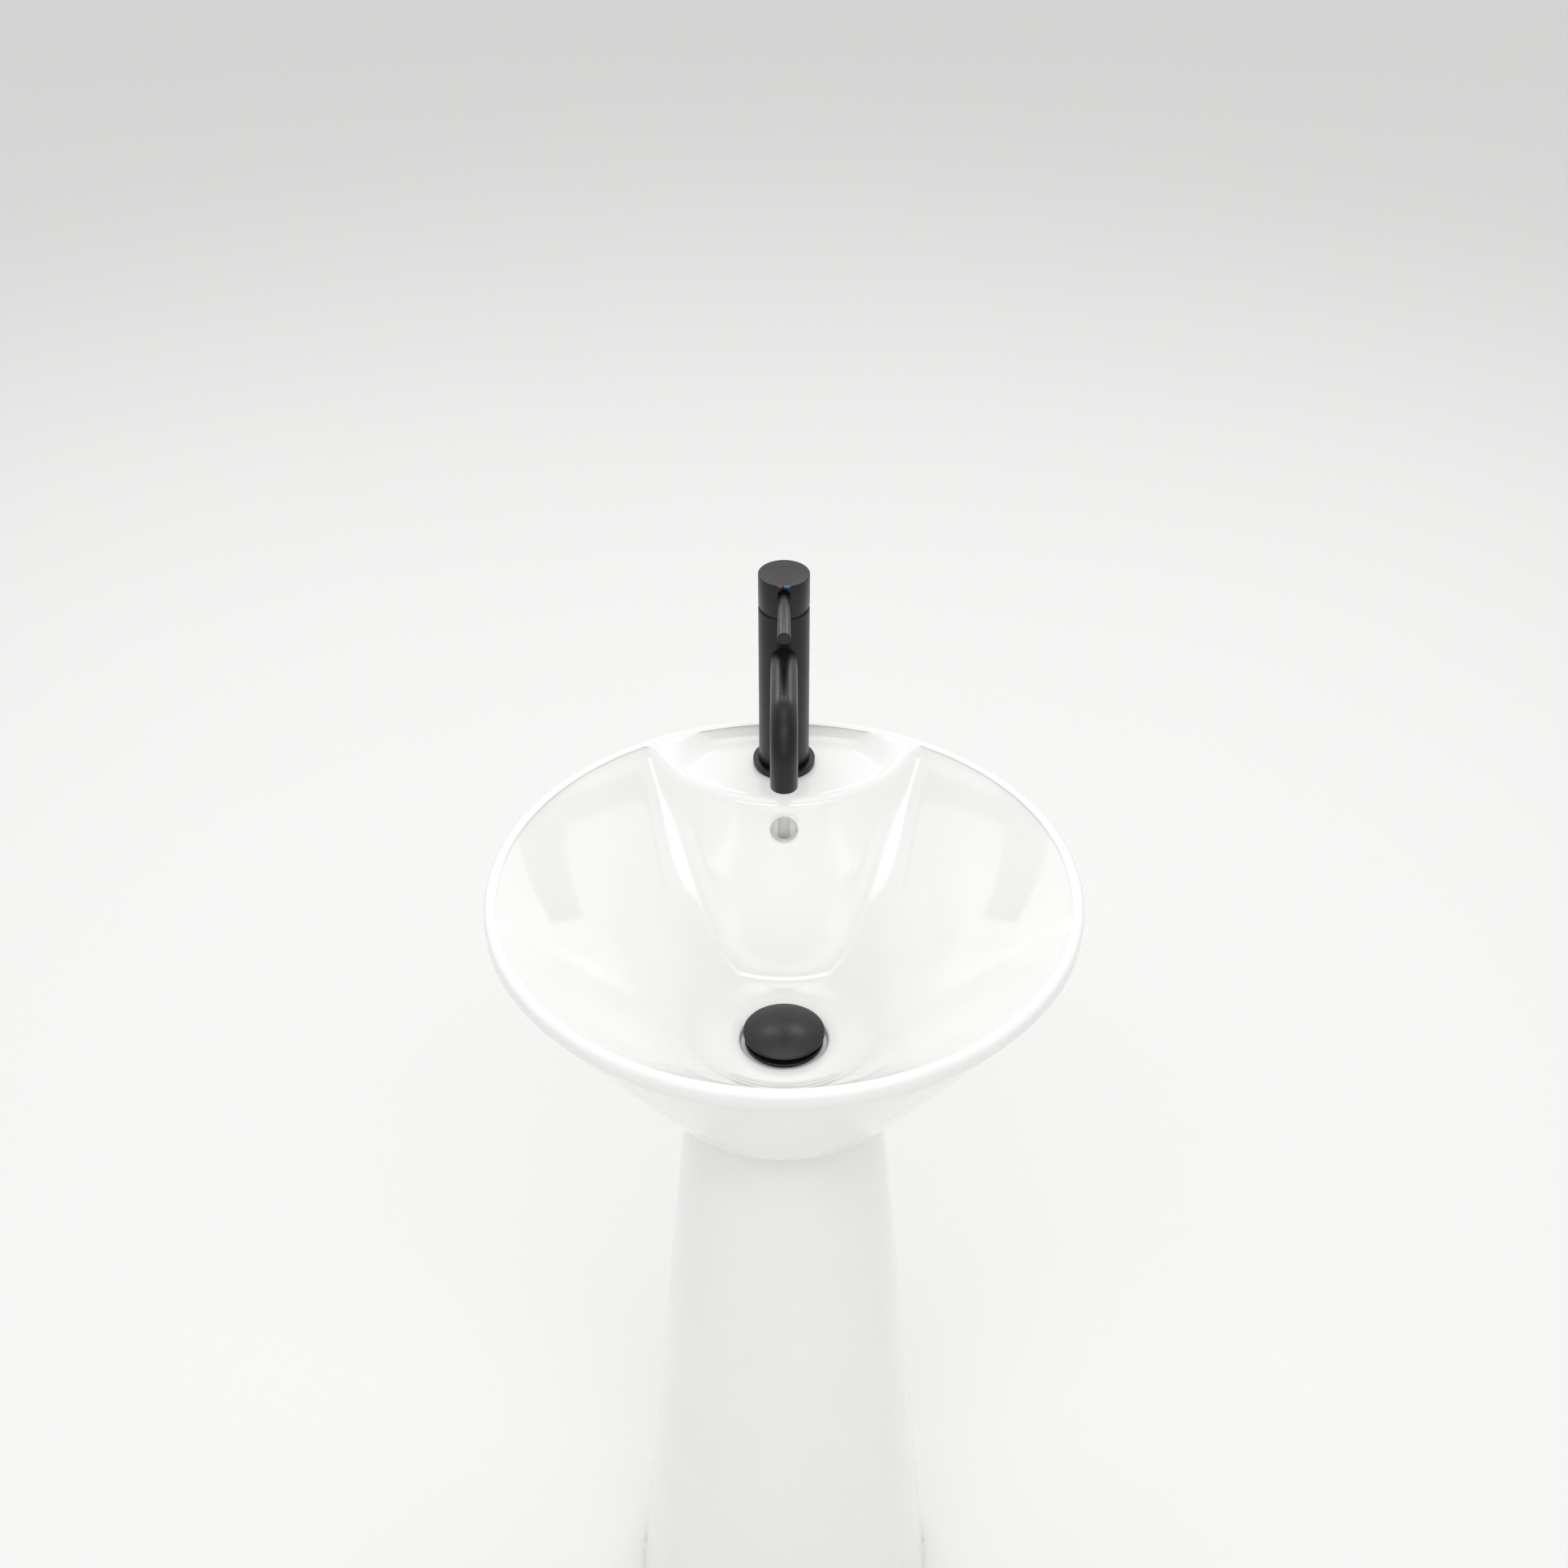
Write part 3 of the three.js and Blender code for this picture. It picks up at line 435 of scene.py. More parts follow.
@dataclass(frozen=True)
class Finish:
    """A surface: what it is made of, its gloss, and the small unevenness of how it was made."""

    name: str
    slot: str
    colour: str
    deep_colour: str
    roughness: float
    metallic: float = 0.0
    ior: float = 1.5
    coat: float = 0.0
    coat_roughness: float = 0.03
    specular: float = 0.5
    mottle_mm: float = 20.0
    grain_mm: float = 0.6
    grain_depth_mm: float = 0.004
    wave_mm: float = 0.0
    wave_depth_mm: float = 0.0
    gloss_spread: float = 0.04
    stretch: tuple[float, float, float] = (1.0, 1.0, 1.0)

    def material(self) -> bpy.types.Material:
        """The finish as a material, made once."""
        made = bpy.data.materials.get(self.name)
        if made:
            return made
        made = bpy.data.materials.new(self.name)
        made.use_nodes = True
        tree = made.node_tree
        tree.nodes.clear()
        place = add_node(tree, "ShaderNodeTexCoord")
        lay = add_node(tree, "ShaderNodeMapping", {"Vector": place.outputs["Object"], "Scale": self.stretch})
        shader = add_node(tree, "ShaderNodeBsdfPrincipled", {
            "Metallic": self.metallic, "IOR": self.ior, "Coat Weight": self.coat,
            "Coat Roughness": self.coat_roughness, "Specular IOR Level": self.specular,
        })
        self._colour(tree, lay, shader)
        self._relief(tree, lay, shader)
        add_node(tree, "ShaderNodeOutputMaterial", {"Surface": shader.outputs["BSDF"]})
        return made

    def _noise(self, tree: bpy.types.NodeTree, lay: bpy.types.Node, size_mm: float,
               detail: float) -> bpy.types.Node:
        """Noise whose blotches are about size_mm across."""
        return add_node(tree, "ShaderNodeTexNoise", {
            "Vector": lay.outputs["Vector"], "Scale": 1 / (size_mm * MM), "Detail": detail, "Roughness": 0.55,
        })

    def _colour(self, tree: bpy.types.NodeTree, lay: bpy.types.Node, shader: bpy.types.Node) -> None:
        """Drifts the colour and the gloss slowly over the surface, as hand spraying and firing do."""
        mottle = self._noise(tree, lay, self.mottle_mm, 3)
        shade = add_node(tree, "ShaderNodeMix", {"Factor": mottle.outputs["Fac"]}, data_type="RGBA")
        shade.inputs[6].default_value = linear(self.deep_colour)
        shade.inputs[7].default_value = linear(self.colour)
        tree.links.new(shade.outputs[2], shader.inputs["Base Color"])
        gloss = add_node(tree, "ShaderNodeMapRange", {
            "Value": mottle.outputs["Fac"], "From Min": 0.3, "From Max": 0.7,
            "To Min": self.roughness, "To Max": self.roughness + self.gloss_spread,
        })
        tree.links.new(gloss.outputs["Result"], shader.inputs["Roughness"])

    def _relief(self, tree: bpy.types.NodeTree, lay: bpy.types.Node, shader: bpy.types.Node) -> None:
        """Fine grain, and on a glaze also the slow waves of the casting below it."""
        grain = self._noise(tree, lay, self.grain_mm, 2)
        bump = add_node(tree, "ShaderNodeBump", {
            "Height": grain.outputs["Fac"], "Strength": 1.0, "Distance": self.grain_depth_mm * MM,
        })
        if self.wave_mm > 0:
            wave = self._noise(tree, lay, self.wave_mm, 1)
            bump = add_node(tree, "ShaderNodeBump", {
                "Height": wave.outputs["Fac"], "Strength": 1.0, "Distance": self.wave_depth_mm * MM,
                "Normal": bump.outputs["Normal"],
            })
        tree.links.new(bump.outputs["Normal"], shader.inputs["Normal"])
        if self.coat > 0:
            tree.links.new(bump.outputs["Normal"], shader.inputs["Coat Normal"])


# Vitreous china under a clear glaze, fired once: a hard wet gloss over a white body, whose
# reflections bend a little where the casting is wavy.
GLAZE = Finish(
    "vitreous_china_glazed", "white_glaze", "#f4f4f2", "#efefed", 0.07, ior=1.52, coat=0.6,
    coat_roughness=0.02, mottle_mm=60, grain_mm=3.0, grain_depth_mm=0.006, wave_mm=90, wave_depth_mm=0.05,
    gloss_spread=0.03,
)
# Brass with an electrophoretic matt black coat: broad soft highlights, almost no grain.
BLACK_COAT = Finish(
    "brass_matt_black_coat", "black_coat", "#101011", "#0d0d0e", 0.33, ior=1.5, specular=0.36,
    mottle_mm=18, grain_mm=0.5, grain_depth_mm=0.006, gloss_spread=0.05,
)
# The same coat on the lever, polished smoother before it was coated.
BLACK_SATIN = Finish(
    "brass_satin_black_coat", "black_coat", "#101011", "#0d0d0e", 0.28, ior=1.5, specular=0.45,
    mottle_mm=12, grain_mm=0.4, grain_depth_mm=0.003, gloss_spread=0.04,
)
# Pressed brass, sprayed dark: a little lighter and rougher than the tap.
PLUG_COAT = Finish(
    "pressed_brass_dark_coat", "plug_black", "#29292a", "#232324", 0.26, metallic=0.35,
    mottle_mm=14, grain_mm=0.35, grain_depth_mm=0.010, gloss_spread=0.08,
)
# Bare turned brass: warm, with fine tool marks.
BRASS = Finish(
    "turned_brass_bare", "brass", "#c9a766", "#b08e50", 0.28, metallic=1.0,
    mottle_mm=6, grain_mm=0.3, grain_depth_mm=0.008, gloss_spread=0.12, stretch=(1, 1, 6),
)
# Zinc-plated steel: greyish, softly blotched.
STEEL = Finish(
    "steel_zinc_plated", "steel", "#b9bcbf", "#a4a7ab", 0.34, metallic=1.0,
    mottle_mm=5, grain_mm=0.4, grain_depth_mm=0.006, gloss_spread=0.14,
)
# Polished brass under chrome plate: mirror-like with a faint haze.
CHROME = Finish(
    "brass_chrome_plated", "chrome", "#d9dadc", "#cfd1d3", 0.07, metallic=1.0,
    mottle_mm=25, grain_mm=1.0, grain_depth_mm=0.001, gloss_spread=0.05,
)
# Moulded nitrile rubber: dull black with a fine bloom.
RUBBER = Finish(
    "nitrile_rubber_moulded", "rubber", "#1d1d1e", "#161617", 0.7, ior=1.52, specular=0.3,
    mottle_mm=8, grain_mm=0.5, grain_depth_mm=0.02, gloss_spread=0.12,
)
# Injection-moulded white polypropylene: waxy, faintly translucent to the eye.
WHITE_PLASTIC = Finish(
    "polypropylene_white_moulded", "white_plastic", "#e8e8e5", "#dfdfdb", 0.38, ior=1.49,
    mottle_mm=12, grain_mm=0.6, grain_depth_mm=0.008, gloss_spread=0.08,
)
# Moulded acetal: mid grey and slightly slippery in its shine.
GREY_PLASTIC = Finish(
    "acetal_grey_moulded", "grey_plastic", "#8b8e91", "#7d8083", 0.4, ior=1.48,
    mottle_mm=6, grain_mm=0.4, grain_depth_mm=0.006, gloss_spread=0.08,
)
# Enamel let into the cap: flat bright colour with a thin gloss.
RED_ENAMEL = Finish(
    "enamel_red", "red_mark", "#7a2a2e", "#6f262a", 0.25, mottle_mm=1.5, grain_mm=0.3,
    grain_depth_mm=0.003,
)
BLUE_ENAMEL = Finish(
    "enamel_blue", "blue_mark", "#1f6d92", "#1b6284", 0.25, mottle_mm=1.5, grain_mm=0.3,
    grain_depth_mm=0.003,
)


def place_piece(piece: bpy.types.Object, finish: Finish, body: str, *nodes: str) -> bpy.types.Object:
    """Dresses a piece, lets it stand for its CAD nodes and rides it on their body.

    Args:
        piece: the finished piece.
        finish: what it is made of.
        body: the CAD body that it moves with.
        nodes: the CAD nodes that it stands for.

    Returns:
        The same piece.
    """
    cleaned(piece)
    piece.data.materials.clear()
    piece.data.materials.append(finish.material())
    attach(piece, body)
    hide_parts(*nodes)
    log.info("%s: %d faces, %s", piece.name, len(piece.data.polygons), finish.name)
    return piece


# ------------------------------------------------------------------ basin


def soft_min(a: np.ndarray, b: np.ndarray, blend: np.ndarray | float) -> np.ndarray:
    """The smaller of two distances, rounded off where they are within blend of each other."""
    near = np.maximum(blend - np.abs(a - b), 0) / blend
    return np.minimum(a, b) - near * near * blend / 4


@dataclass
class Basin:
    """The basin: a skirt and a bowl that meet in a rolled rim, with a tap deck and its tongue.

    Lengths are in millimetres.
    """

    rim_round: float = 5.75
    skirt_bulge: float = 2.2
    skirt_wall: float = 11.0
    skirt_top: float = 838.0
    bowl_wall: float = 9.0
    lip_point: tuple[float, float] = (36.0, 690.0)
    floor_tilt: float = 8.0
    wall_tilt: float = 43.6
    knee_start: float = 50.0
    knee_radius: float = 50.0
    recess_z: float = 686.0
    deck_z: float = 838.0
    deck_thickness: float = 10.0
    tongue_front: float = 127.0
    tongue_lean: float = 0.2823
    tongue_sweep: float = 0.001025
    tongue_radius: float = 120.0
    tongue_flat_drop: float = 110.0
    tongue_wall: float = 11.0
    tongue_half: float = 112.0
    tongue_hollow_foot: float = 699.0
    deck_edge_blend: float = 10.0
    crease_blend: float = 8.0
    side_blend: float = 34.0
    overflow_z: float = 814.0
    overflow_radius: float = 11.25
    tap_hole_radius: float = 17.5
    waste_hole_radius: float = 23.0
    boss_radius: float = 34.0
    boss_z: float = 648.0
    seating: tuple[float, float, float] = (60.0, 76.0, 672.0)
    seating_tops: tuple[float, float] = (689.0, 697.0)
    hollow_top: float = 790.0
    service_half: float = 70.0
    service_top: float = 808.0
    service_corner: float = 14.0
    overflow_boss: float = 15.0
    duct_radius: float = 5.5
    rib_radius: float = 9.5
    steps: int = 320
    meridian_points: int = 170
    rim_top: float = field(init=False)
    rim_radius: float = field(init=False)
    skirt_foot: tuple[float, float] = field(init=False)
    tap_y: float = field(init=False)

    def __post_init__(self) -> None:
        """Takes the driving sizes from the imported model."""
        high = corners_mm("basin")[1]
        self.rim_top, self.rim_radius = high.z, high.x
        self.skirt_foot = (109.3, 659.0)
        self.tap_y = middle_mm("tap_base_flange").y

    @property
    def rim_centre(self) -> tuple[float, float]:
        """Centre of the rim's round section."""
        return self.rim_radius - self.rim_round, self.rim_top - self.rim_round

    @property
    def rim_end(self) -> tuple[float, float]:
        """Where the rim's round section gives way to the bowl's wall."""
        return arc(self.rim_centre, self.rim_round, 180 - self.wall_tilt, 180 - self.wall_tilt, 1)[0]

    def knee_point(self, tilt: float, depth: float = 0.0) -> tuple[float, float]:
        """A place on the knee between the bowl's floor and its wall.

        Args:
            tilt: the surface's tilt there, in degrees.
            depth: how far into the ceramic.

        Returns:
            Radius and height.
        """
        angle, first = math.radians(tilt), math.radians(self.floor_tilt)
        lip_r, lip_z = self.lip_point
        knee_z = lip_z + (self.knee_start - lip_r) * math.tan(first)
        out = self.knee_radius * (math.sin(angle) - math.sin(first)) + depth * math.sin(angle)
        up = self.knee_radius * (math.cos(first) - math.cos(angle)) - depth * math.cos(angle)
        return self.knee_start + out, knee_z + up

    def skirt_radius(self, z: float) -> float:
        """Outer radius of the skirt at a height."""
        foot_radius, foot_z = self.skirt_foot
        t = (z - foot_z) / (self.skirt_top - foot_z)
        return foot_radius + (self.rim_radius - foot_radius) * t + self.skirt_bulge * math.sin(math.pi * t)

    def skirt_line(self, inset: float, low: float, high: float, steps: int) -> Outline:
        """The skirt's outline between two heights, moved inwards by an inset."""
        return [(self.skirt_radius(z) - inset, z) for z in np.linspace(low, high, steps + 1)]

    def front(self, z: np.ndarray | float) -> np.ndarray | float:
        """Y of the tongue's front on the centre plane."""
        drop = self.deck_z - z
        return self.tongue_front - self.tongue_lean * drop - self.tongue_sweep * drop * drop

    def sag(self, x: np.ndarray, z: np.ndarray) -> np.ndarray:
        """How far the tongue's front has curved back at a distance x from the centre plane."""
        bend = np.maximum(1 - ((self.deck_z - z) / self.tongue_flat_drop) ** 2, 0.02) / self.tongue_radius
        return (1 - np.sqrt(np.maximum(1 - (x * bend) ** 2, 0.01))) / bend

    def clearance(self, radius: np.ndarray, z: np.ndarray, azimuth: np.ndarray) -> np.ndarray:
        """Distance from a point in the bowl to the ceramic, negative inside it.

        Args:
            radius: distance from the bowl's axis.
            z: height.
            azimuth: angle from +Y, in radians.

        Returns:
            The rounded distance.
        """
        x, y = radius * np.sin(azimuth), radius * np.cos(azimuth)

        floor_r, floor_z = self.knee_point(self.floor_tilt)
        wall_r, wall_z = self.knee_point(self.wall_tilt)
        first, last = math.radians(self.floor_tilt), math.radians(self.wall_tilt)
        over_floor = (z - floor_z) * math.cos(first) - (radius - floor_r) * math.sin(first)
        over_wall = (z - wall_z) * math.cos(last) - (radius - wall_r) * math.sin(last)
        centre_r = floor_r - self.knee_radius * math.sin(first)
        centre_z = floor_z + self.knee_radius * math.cos(first)
        over_knee = self.knee_radius - np.hypot(radius - centre_r, z - centre_z)
        bearing = np.arctan2(radius - centre_r, centre_z - z)
        bowl = np.where(bearing < first, over_floor, np.where(bearing > last, over_wall, over_knee))
        slope = self.tongue_lean + 2 * self.tongue_sweep * np.maximum(self.deck_z - z, 0)
        before = (self.front(z) + self.sag(x, z) - y) / np.sqrt(1 + slope ** 2)
        before = np.where(y > 0, before, 200.0)
        tongue = -soft_min(-before, self.deck_z - z, self.deck_edge_blend)
        outward = np.clip((np.abs(x) - 55) / 40, 0, 1)
        blend = self.crease_blend + (self.side_blend - self.crease_blend) * outward ** 2 * (3 - 2 * outward)
        return soft_min(bowl, tongue, blend)

    def meridians(self) -> tuple[np.ndarray, np.ndarray]:
        """Sections of the bowl from the rim down to the waste, one for each step of the turn.

        Returns:
            Radius and height, each as steps by meridian_points.
        """
        eye = np.array((60.0, 880.0))
        first = np.array(self.rim_end) - eye
        last = np.array(self.floor_end()) - eye
        look = np.linspace(math.atan2(*first[::-1]), math.atan2(*last[::-1]), 900)[None, :]
        azimuth = (math.pi / 2 - np.arange(self.steps) * TAU / self.steps)[:, None]
        near = np.zeros((self.steps, look.shape[1]))
        far = near + 320.0
        for _ in range(34):
            middle = (near + far) / 2
            along_r, along_z = eye[0] + middle * np.cos(look), eye[1] + middle * np.sin(look)
            open_space = self.clearance(along_r, along_z, azimuth) > 0
            near, far = np.where(open_space, middle, near), np.where(open_space, far, middle)
        radius, height = eye[0] + near * np.cos(look), eye[1] + near * np.sin(look)
        return self._respaced(radius, height)

    def _respaced(self, radius: np.ndarray, height: np.ndarray) -> tuple[np.ndarray, np.ndarray]:
        """Spaces each section's points by length, and closer where it bends."""
        out_radius = np.empty((self.steps, self.meridian_points))
        out_height = np.empty_like(out_radius)
        share = np.linspace(0, 1, self.meridian_points)
        for i, (r, z) in enumerate(zip(radius, height)):
            dr, dz = np.diff(r), np.diff(z)
            heading = np.unwrap(np.arctan2(dz, dr))
            turning = np.abs(np.gradient(heading))
            pace = np.hypot(dr, dz) + 16.0 * turning
            travelled = np.concatenate(([0.0], np.cumsum(pace)))
            travelled /= travelled[-1]
            out_radius[i] = np.interp(share, travelled, r)
            out_height[i] = np.interp(share, travelled, z)
        return out_radius, out_height

    def floor_end(self) -> tuple[float, float]:
        """Where the bowl's floor gives way to the round lip of the waste recess."""
        lip_r, lip_z = self.lip_point
        return lip_r + 4, lip_z + 4 * math.tan(math.radians(self.floor_tilt))

    def casting(self) -> bpy.types.Object:
        """The basin's outer surface, turned and then pressed over the tongue, still solid inside."""
        foot_radius, foot_z = self.skirt_foot
        below = rounded([
            (self.boss_radius, self.boss_z, 2), (self.boss_radius, foot_z + 1),
            (foot_radius, foot_z, 3), *self.skirt_line(0, foot_z + 12, self.skirt_top, 14),
        ], closed=False)
        below[0] = (self.boss_radius, self.boss_z)
        rim = arc(self.rim_centre, self.rim_round, 0, 180 - self.wall_tilt, 14)
        start, end = rim[-1], self.floor_end()
        shares = np.linspace(0, 1, self.meridian_points)
        (r0, z0), (r1, z1) = start, end
        placeholder = [(r0 + (r1 - r0) * share, z0 + (z1 - z0) * share) for share in shares]
        drain = rounded([
            end, (*self.lip_point, 2.5), (self.lip_point[0], self.recess_z, 1.2),
            (self.waste_hole_radius, self.recess_z, 1.5), (self.waste_hole_radius, self.boss_z, 1.0),
            (self.boss_radius - 2, self.boss_z),
        ], closed=False)
        bm = spin_outline(below + rim[:-1] + placeholder + drain[1:], self.steps)
        self._press(bm, start, end)
        return as_object("basin_shell", bm)

    def _press(self, bm: bmesh.types.BMesh, start: tuple[float, float], end: tuple[float, float]) -> None:
        """Moves the turned bowl's vertices to its true sections, tongue and deck included.

        Args:
            bm: the turned casting, whose bowl is a plain cone from start to end.
            start: radius and height at which the cone leaves the rim.
            end: radius and height at which it reaches the waste recess.
        """
        radius, height = self.meridians()
        for vert in bm.verts:
            share = (vert.co.z - start[1]) / (end[1] - start[1])
            off_cone = math.hypot(vert.co.x, vert.co.y) - start[0] - (end[0] - start[0]) * share
            if abs(off_cone) > 0.01 or not -1e-4 < share < 1.0001:
                continue
            row = round(share * (self.meridian_points - 1))
            angle = math.atan2(vert.co.y, vert.co.x) % TAU
            column = round(angle / TAU * self.steps) % self.steps
            reach = radius[column, row]
            vert.co = Vector((reach * math.cos(angle), reach * math.sin(angle), height[column, row]))

    def skirt_space(self, wall: float) -> bpy.types.Object:
        """The space inside the skirt, up to the underside of the deck."""
        top = self.deck_z - self.deck_thickness
        foot_z = self.skirt_foot[1]
        return turned("skirt_space", [
            (0, foot_z - 2), (self.skirt_foot[0] - wall, foot_z - 2),
            *self.skirt_line(wall, foot_z, top, 12), (0, top),
        ], 128)

    def hollow(self) -> tuple[bpy.types.Object, bpy.types.Object]:
        """The two ring-shaped spaces between the skirt and the bowl, inside and outside the seating rib."""
        seat_in, seat_out, seat_z = self.seating
        top = self.hollow_top
        foot_r, foot_z = self.skirt_foot
        knee = [(*self.knee_point(tilt, self.bowl_wall), 0.0)
                for tilt in np.linspace(self.wall_tilt, self.floor_tilt + 16, 6)]
        climb = math.tan(math.radians(self.wall_tilt))
        under_top = knee[0][0] + (top - knee[0][1]) / climb
        under_floor = self.lip_point[1] - self.bowl_wall
        inner = turned("hollow_inner", rounded([
            (self.boss_radius, foot_z - 2), (seat_in, foot_z - 2),
            (seat_in, self.seating_tops[0] - 3, 3), (self.boss_radius, under_floor, 3),
        ]), 128)
        outer = turned("hollow_outer", rounded([
            (seat_in - 1, foot_z - 2), (foot_r - self.skirt_wall, foot_z - 2, 2),
            *self.skirt_line(self.skirt_wall, foot_z + 8, top, 10), (under_top, top, 2),
            (knee[0][0], knee[0][1]), (seat_out, self.seating_tops[1] - 1, 3),
            (seat_out, seat_z, 2), (seat_in - 1, seat_z),
        ]), 128)
        return inner, outer

    def tongue_hollow(self) -> bpy.types.Object:
        """The space behind the tongue and below the deck, where the tap is fastened."""
        foot, top = self.tongue_hollow_foot, self.deck_z - self.deck_thickness + 2
        half = self.tongue_half - self.tongue_wall
        bm = bmesh.new()
        bmesh.ops.create_grid(bm, x_segments=32, y_segments=24, size=1.0)
        for vert in bm.verts:
            x, z = vert.co.x * half, foot + (vert.co.y + 1) / 2 * (top - foot)
            y = self.front(z) + float(self.sag(np.array(x), np.array(z))) + self.tongue_wall
            vert.co = Vector((x, y, z))
        moved = bmesh.ops.extrude_face_region(bm, geom=list(bm.faces), use_keep_orig=True)
        for item in moved["geom"]:
            if isinstance(item, bmesh.types.BMVert):
                item.co.y = self.rim_radius - 3
        bmesh.ops.recalc_face_normals(bm, faces=bm.faces)
        block = as_object("tongue_hollow", bm)
        return carved(block, Carve.KEEP, self.skirt_space(self.skirt_wall))

    def service_cutter(self) -> bpy.types.Object:
        """Cuts the round-cornered opening in the back of the skirt."""
        half, top, corner = self.service_half, self.service_top, self.service_corner
        outline = rounded([(-half, 640), (half, 640), (half, top, corner), (-half, top, corner)], 8)
        block = prism("service", outline, 180, at(0, 235) @ Matrix.Rotation(math.pi / 2, 4, "X"))
        return carved(block, Carve.CUT, self.skirt_space(self.skirt_wall + 2))

    def overflow_route(self, end_y: float) -> list[Vector]:
        """The overflow duct's line, from behind the tongue's hole down to the waste boss."""
        route = [
            (136, 815), (131, 790), (121, 762), (108, 735), (95, 709),
            (80, 692), (64, 682), (45, 674), (32, 669),
        ]
        points = [Vector((0, y, z)) for y, z in route]
        return points + [Vector((0, end_y, 664))] if end_y < 32 else points

    def overflow_cutter(self) -> bpy.types.Object:
        """Cuts the overflow hole with a round mouth, square to the tongue."""
        face = float(self.front(self.overflow_z))
        lean = math.atan(self.tongue_lean + 2 * self.tongue_sweep * (self.deck_z - self.overflow_z))
        mouth = 3.0
        section = [(0, 1.5), (self.overflow_radius + mouth, 1.5)]
        section += arc((self.overflow_radius + mouth, -mouth), mouth, 90, 180, 10)
        section += [(self.overflow_radius, -17), (0, -17)]
        turn = Matrix.Rotation(math.pi / 2 - lean, 4, "X")
        return turned("overflow", section[::-1], 64, at(0, face, self.overflow_z) @ turn)

    def build(self) -> None:
        """Builds the basin and dresses it."""
        shell = self.casting()
        carved(shell, Carve.CUT, *self.hollow(), self.tongue_hollow(), self.service_cutter())
        behind = float(self.front(self.overflow_z)) + 3
        head = post(self.overflow_boss, 0, 26, facing("+y", (0, behind, self.overflow_z)))
        carved(shell, Carve.JOIN, tube_along("rib", self.overflow_route(32), self.rib_radius), head)
        groove = turned("groove", [(21, 658), (27, 658), (27, 674), (21, 674)], 64)
        tap_hole = post(self.tap_hole_radius, self.deck_z - 14, self.deck_z + 4, at(0, self.tap_y), 64)
        duct = tube_along("duct", self.overflow_route(18), self.duct_radius)
        carved(shell, Carve.CUT, groove, duct, self.overflow_cutter(), tap_hole)
        shell.name = "basin_casting"
        place_piece(shell, GLAZE, "sink", "basin")


@dataclass
class Pedestal:
    """The tapered pedestal, with its pipe slot and fixing holes. Lengths are in millimetres."""

    taper: float = 0.0923
    wall: float = 12.0
    slot_half: float = 50.0
    slot_top: float = 600.0
    screw_z: float = 25.0

    def build(self) -> None:
        """Builds the pedestal and the gasket on it."""
        low, high = corners_mm("pedestal")
        foot = high.x
        top = high.z
        upper = foot - self.taper * top
        outline = rounded([
            (foot - self.wall, 0, 2.5), (foot, 0, 3.5), (upper, top, 2.5), (upper - self.wall, top, 2.5),
        ], 6)
        body = turned("pedestal_casting", outline, 192)
        slot_outline = rounded([
            (-self.slot_half, -40), (self.slot_half, -40),
            (self.slot_half, self.slot_top, 22), (-self.slot_half, self.slot_top, 22),
        ], 10)
        slot = prism("slot", slot_outline, foot + 10, at(0, foot + 10) @ Matrix.Rotation(math.pi / 2, 4, "X"))
        screw_hole = post(3.2, -150, 150, facing("+x", (0, 0, self.screw_z)), 32)
        sinkings = [post(6.8, 131, 150, facing(side, (0, 0, self.screw_z)), 40) for side in ("+x", "-x")]
        carved(body, Carve.CUT, slot, screw_hole, *sinkings)
        softened(body, 1.2, 3, 50)
        place_piece(body, GLAZE, "sink", "pedestal")
        low, high = corners_mm("seating_gasket")
        inside = upper - self.wall + 1
        gasket = rounded([
            (inside, low.z, 1), (high.x, low.z, 1), (high.x, high.z, 1), (inside, high.z, 1),
        ], 4)
        place_piece(turned("seating_gasket_ring", gasket, 128), RUBBER, "sink", "seating_gasket")


# ------------------------------------------------------------------ tap


